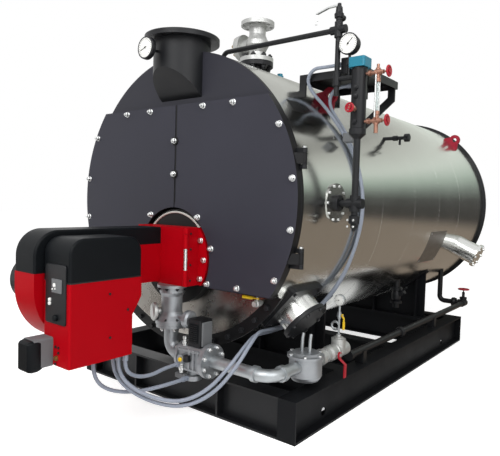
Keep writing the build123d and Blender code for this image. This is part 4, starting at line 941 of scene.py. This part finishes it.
@dataclass
class Dial:
    """A round white dial that faces the front; its marks and bezel are shares of its radius."""

    name: str
    centre: Point
    radius: float
    needle: float
    ticks: int = 21
    rim: Finish = CASE

    def build(self) -> None:
        """Makes the dial's face, its marks and its bezel."""
        r = self.radius
        face = lathe([(r * 0.9, -2.0), (r * 0.9, 0.6), (r * 0.88, 0.8)], 48).at(self.centre, FRONT)
        piece(self.name + "_face", face, DIAL)
        scale = circle_spots((0, 0, 0), FRONT, 1.0, np.linspace(-45, 225, self.ticks))
        mark = prism(r * 0.02, 0.5, 0.2, [(0, 0), (0, r * 0.15)], 2)
        marks = mark.at(scale * r * 0.7 + self.centre + [0, -0.8, 0], scale)
        a = math.radians(self.needle)
        hand = prism(r * 0.045, 0.4, 0.2, [(0, -r * 0.2), (r * 0.03, r * 0.66)], 2)
        hand = hand.at(np.add(self.centre, (0, -1.8, 0)), (math.cos(a), 0, math.sin(a)))
        hub = lathe([(r * 0.09, 0), (r * 0.09, 2.4), (r * 0.06, 2.8)], 16).at(self.centre, FRONT)
        piece(self.name + "_marks", marks.joined(hand, hub), INK)
        t = np.linspace(0, 2 * np.pi, 10, endpoint=False)
        ring = np.stack([0.95 * r + 0.06 * r * np.cos(t), 0.05 * r * np.sin(t)], axis=-1)
        bezel = hoop(0.0, ring, self.centre, 56)
        piece(self.name + "_bezel", bezel, self.rim)


@dataclass
class TopFittings:
    """Nuts of the steam valve, the handhole's rosette, the water column's trim and the dials."""

    steam_y: float = 690.0
    joint_z: float = 880.0
    joint_pitch: float = 84.15
    column_x: float = 890.0
    column_y: float = 355.0
    handhole_z: float = 8.0
    guard_x: float = 984.5

    def build(self) -> None:
        """Makes the fittings on top of the shell and round the water column."""
        nut = Fastener(28, 17, stud=8)
        rings = [bolt_ring(nut, (0, self.steam_y, self.joint_z + dz), axis, self.joint_pitch, 8, 22.5)
                 for dz, axis in ((25, UP), (-28, DOWN))]
        piece("steam_flange_nuts", rings[0].joined(rings[1]), BLACK_PAINT)
        bonnet = bolt_ring(Fastener(20, 11, stud=5), (-138, self.steam_y, 988), LEFT, 64, 8)
        piece("bonnet_bolts", bonnet, BRASS)
        self.column()
        Dial("pressure_dial", (832.4, 332.6, 780), 52, 48).build()
        Dial("flue_dial", (-30, -194.4, 765), 55, 200).build()
        Dial("gas_dial", (725, 542.6, -516), 30, 190, 15, NUTS).build()

    def column(self) -> None:
        """Makes the trim of the water column, its handhole and the safety valve's pull."""
        x, y, z = self.column_x, self.column_y, self.handhole_z
        piece("handhole_bolts", bolt_ring(Fastener(12, 6), (791, y, z), RIGHT, 87, 10), NUTS)
        piece("column_flange_bolts", bolt_ring(SCREW, (813, y, z), RIGHT, 31, 4, 45), BLACK_PAINT)
        piece("drain_union_bolts", bolt_ring(SCREW, (x, y - 37, -88), FRONT, 22, 4, 45), NUTS)
        rods = [tube([(self.guard_x, y + dy, h) for h in (416, 482, 548, 614)], 3.8, 12) for dy in (-22, 22)]
        piece("guard_rods", rods[0].joined(rods[1]), NUTS)
        pull = tube([(640, y, 958), (640, y, 950), (639, y, 938), (638, y, 926)], 3.2, 10)
        loop = hoop(9.0, [(2, 0), (0, 2), (-2, 0), (0, -2)], (638, y, 917), 24)
        piece("lever_pull", pull.joined(loop), NUTS)
        plug = lathe([(13, -3), (13, 7), (9, 8), (9, 13), (7, 14)], 18)
        piece("column_plugs", plug.at([(x, y - 36.5, h) for h in (560, 520, 400)], FRONT), BLACK_PAINT)
        box = prism(30, 24, 6, [(3, 0), (0, 3), (0, 52), (3, 55)]).at((748, 500, 348), RIGHT)
        piece("junction_box", box, SERVO)


@dataclass
class Burner:
    """Control panel, hood lip, screws, servo cap, flange bolts, upright pin and motor ribs of the burner."""

    front: float = -757.0
    side: float = 200.0
    panel_mm: float = 7.0
    tile_mm: float = 4.0
    pin_x: float = 184.0
    pin_y: float = -88.0

    def build(self) -> None:
        """Makes the burner's trim."""
        self.panel()
        self.box()
        self.housing()

    def panel(self) -> None:
        """Makes the control panel on the box's front, with its tile, lamps, buttons and knob."""
        face = self.front - self.panel_mm
        tile_face = face - self.tile_mm
        board = prism(75, 125, 12, [(3, -1), (0, 1), (0, 5), (2, self.panel_mm)])
        piece("control_panel", board.at((105, self.front, -405), FRONT), CASE)
        tile = prism(36, 29, 3, [(0, -1), (0, 3), (1, self.tile_mm)])
        piece("panel_tile", tile.at((120, face, -369), FRONT), SERVO)
        lens = lathe([(9, -1), (9, 3), (6, 5), (2, 5.6)], 20).at((107, tile_face, -366), FRONT)
        dot = lathe([(4, -1), (4, 2), (2, 2.6)], 12)
        dots = dot.at([(92, tile_face, -384), (112, tile_face, -380)], FRONT)
        button = lathe([(8, -1), (8, 5), (6, 7), (2, 7.5)], 20)
        buttons = button.at([(69, face, -431), (69, face, -447)], FRONT)
        piece("panel_lights", lens.joined(dots, buttons), DIAL)
        knob = lathe([(14, -1), (14, 9), (12, 12), (5, 12.6)], 28).at((114, face, -503), FRONT)
        piece("panel_selector", knob, HOOD)

    def box(self) -> None:
        """Makes the control box's hood lip, screws and plug, and the servo's cap below it."""
        lip = prism(188, 98.5, 10, [(1.5, -3), (0, -1.5), (0, 1.5), (1.5, 3)])
        piece("hood_lip", lip.at((103, -570.5, -353), UP), CASE)
        screw = SCREW.surface()
        side = [(self.side, y, z) for y, z in ((-560, -416), (-556, -609), (-462, -498))]
        ends = [(x, self.front, z) for x, z in ((104, -628), (126, -628), (104, -700), (126, -650))]
        piece("box_screws", screw.at(side, RIGHT).joined(screw.at(ends, FRONT)), BLACK_PAINT)
        plug = lathe([(11, -1), (11, 6), (8, 7), (8, 12), (6, 13)], 20).at((112, self.front, -674), FRONT)
        piece("box_plug", plug, BRASS)
        cap = prism(46, 66, 16, [(10, -6), (3, 8), (0, 20), (0, 42), (4, 56), (12, 64)], 7)
        piece("servo_cap", cap.at((42, self.front - 49, -660), FRONT), HOOD)

    def housing(self) -> None:
        """Makes the bolts, sleeves, pin and screws of the round housing, and the motor's ribs."""
        ring = circle_spots((0, 1, THROAT_Z), FRONT, 228, (-26, 0, 26, 154, 180, 206))
        piece("burner_flange_bolts", PLATE_BOLT.surface().at(ring, FRONT), NUTS)
        sleeve = lathe([(12.5, 0), (13, 0.5), (13, 73.5), (12.5, 74)], 20)
        sleeves = sleeve.at([(self.pin_x, self.pin_y, z) for z in (-430, -246)], UP)
        piece("housing_sleeves", sleeves, RED_ENAMEL)
        piece("housing_pin", lathe([(10, 0), (10, 112)], 18).at((self.pin_x, self.pin_y, -357), UP), NUTS)
        spots = circle_spots((-176, -600, -403), LEFT, 123, np.arange(24) * 15)
        piece("motor_ribs", prism(3.5, 5, 1.5, [(0, 0), (0, 138)], 3).at(spots, LEFT), BLACK_PAINT)
        edge = [(190.2, -60, z) for z in (-170, -250, -330, -410)]
        piece("housing_screws", SCREW.surface().at(edge, RIGHT), BLACK_PAINT)


@dataclass
class GasLine:
    """Bolts and trim of the gas inlet valve, the valve block with its actuator, the filter and the cock."""

    y: float = -70.0
    z: float = -790.0
    inlet_x: float = 75.0
    block_front: float = -128.0
    actuator_x: float = 282.0
    actuator_front: float = -116.0
    filter_x: float = 725.0
    filter_y: float = 222.0

    def build(self) -> None:
        """Makes the gas line's trim."""
        bolt = Fastener(19, 10, stud=6)
        right = bolt_ring(bolt, (372, self.y, self.z), RIGHT, 70, 8, 22.5)
        left = bolt_ring(bolt, (170, self.y, self.z), LEFT, 58, 4, 45)
        under = bolt_ring(bolt, (self.inlet_x, self.y, -662), DOWN, 66, 6)
        piece("gas_flange_bolts", right.joined(left, under), NUTS)
        cover = bolt_ring(SMALL_BOLT, (self.filter_x, self.filter_y, -741), UP, 81, 6, 30)
        piece("filter_bolts", cover, NUTS)
        self.actuator()
        self.valve_trim()
        grip = prism(8.5, 5, 4, [(2, 0), (0, 3), (0, 41), (2, 44)]).at((753, 555, -676), UP)
        piece("gauge_cock_grip", grip, YELLOW, "gauge_cock_lever")
        rise = np.array([(0, 0, -738), (0, 0, -700), (0, 2, -665), (0, 8, -640)], float)
        tubes = [tube(rise + [self.filter_x + dx, self.filter_y, 0], 8) for dx in (-22, 22)]
        piece("filter_tappings", tubes[0].joined(tubes[1]), ZINC)

    def actuator(self) -> None:
        """Makes the actuator's plate, fins and side, the block's yellow cap and the pressure switch."""
        x, front = self.actuator_x, self.actuator_front
        plate = prism(30, 46, 4, [(1, -1), (0, 0), (0, 3), (1, 4)]).at((x, front, -658), FRONT)
        piece("actuator_plate", plate, HOOD)
        fin = prism(27, 2, 1, [(0, 0), (0, 3), (0.6, 4)], 3)
        fins = fin.at([(x, front - 4, z) for z in range(-698, -617, 10)], FRONT)
        piece("actuator_fins", fins, BLACK_PAINT)
        cheek = prism(34, 60, 5, [(1, -1), (0, 0), (0, 7), (2, 9)]).at((324, self.y, -660), RIGHT)
        piece("actuator_cheek", cheek, SERVO)
        cap = lathe([(11, -1), (11, 5), (8, 8), (3, 8.6)], 20).at((230, self.y - 84, self.z), FRONT)
        piece("valve_cap", cap, YELLOW)
        disc = lathe([(20, -60), (20, 0), (44, 4), (48, 10), (48, 24), (38, 32), (12, 35)], 36)
        disc = disc.at((14, self.y - 44, -588), (-0.5, -0.86, 0))
        piece("pressure_switch", disc, CAST)

    def valve_trim(self) -> None:
        """Makes the ribs, unions and plugs of the valve block and the inlet valve's black bolts."""
        front = self.block_front
        rib = prism(5, 54, 2, [(0, -1), (0, 6), (2, 9)], 3)
        ribs = rib.at([(x, front, self.z) for x in (268, 298, 328)], FRONT)
        rail = prism(72, 6, 2, [(0, -1), (0, 5), (2, 8)], 3)
        rails = rail.at([(266, front, self.z + dz) for dz in (-50, 44)], FRONT)
        piece("valve_ribs", ribs.joined(rails), GAS_CAST)
        head = Fastener(17, 9, stud=5)
        upper = bolt_ring(head, (self.inlet_x, self.y, -626), UP, 72, 8, 22.5)
        top = bolt_ring(head, (self.inlet_x, self.y, -454), DOWN, 71, 8, 22.5)
        piece("inlet_valve_bolts", upper.joined(top), BLACK_PAINT)
        profile = [(9, -20), (9, -8), (13, -6), (13, 8), (9, 10), (9, 18), (12, 20), (12, 32), (7, 34)]
        unions = lathe(profile, 20).at([(222, front + 14, -714), (222, front - 8, -842)], UP)
        piece("block_unions", unions, NUTS)
        plug = prism(15, 17, 4, [(2, -1), (0, 2), (0, 22), (3, 26)]).at((262, front, -782), FRONT)
        piece("block_plug", plug, CASE)
        socket = prism(34, 13, 6, [(3, -14), (0, -10), (0, 10), (3, 14)])
        socket = socket.at((206, front + 8, -884), FRONT)
        neck = lathe([(9, -2), (9, 24)], 16).at((212, front + 10, -874), UP)
        piece("block_socket", socket.joined(neck), SERVO)


def dress_nodes() -> None:
    """Gives every CAD node the finish of the real piece."""
    for name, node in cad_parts.items():
        finish = NODE_FINISH.get(name, CONDUIT if name.startswith("conduit") else BLACK_PAINT)
        node.data.materials.clear()
        node.data.materials.append(finish.material())
        log.info("%s dressed in %s", name, finish.name)


def main() -> None:
    """Builds the studio and every sub-assembly in order."""
    logging.basicConfig(level=logging.INFO, format="%(name)s: %(message)s")
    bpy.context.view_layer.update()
    Studio().build()
    Conduits().build()
    dress_nodes()
    DoorHardware().build()
    ShellTrim().build()
    TopFittings().build()
    Burner().build()
    GasLine().build()


if __name__ == "__main__":
    main()
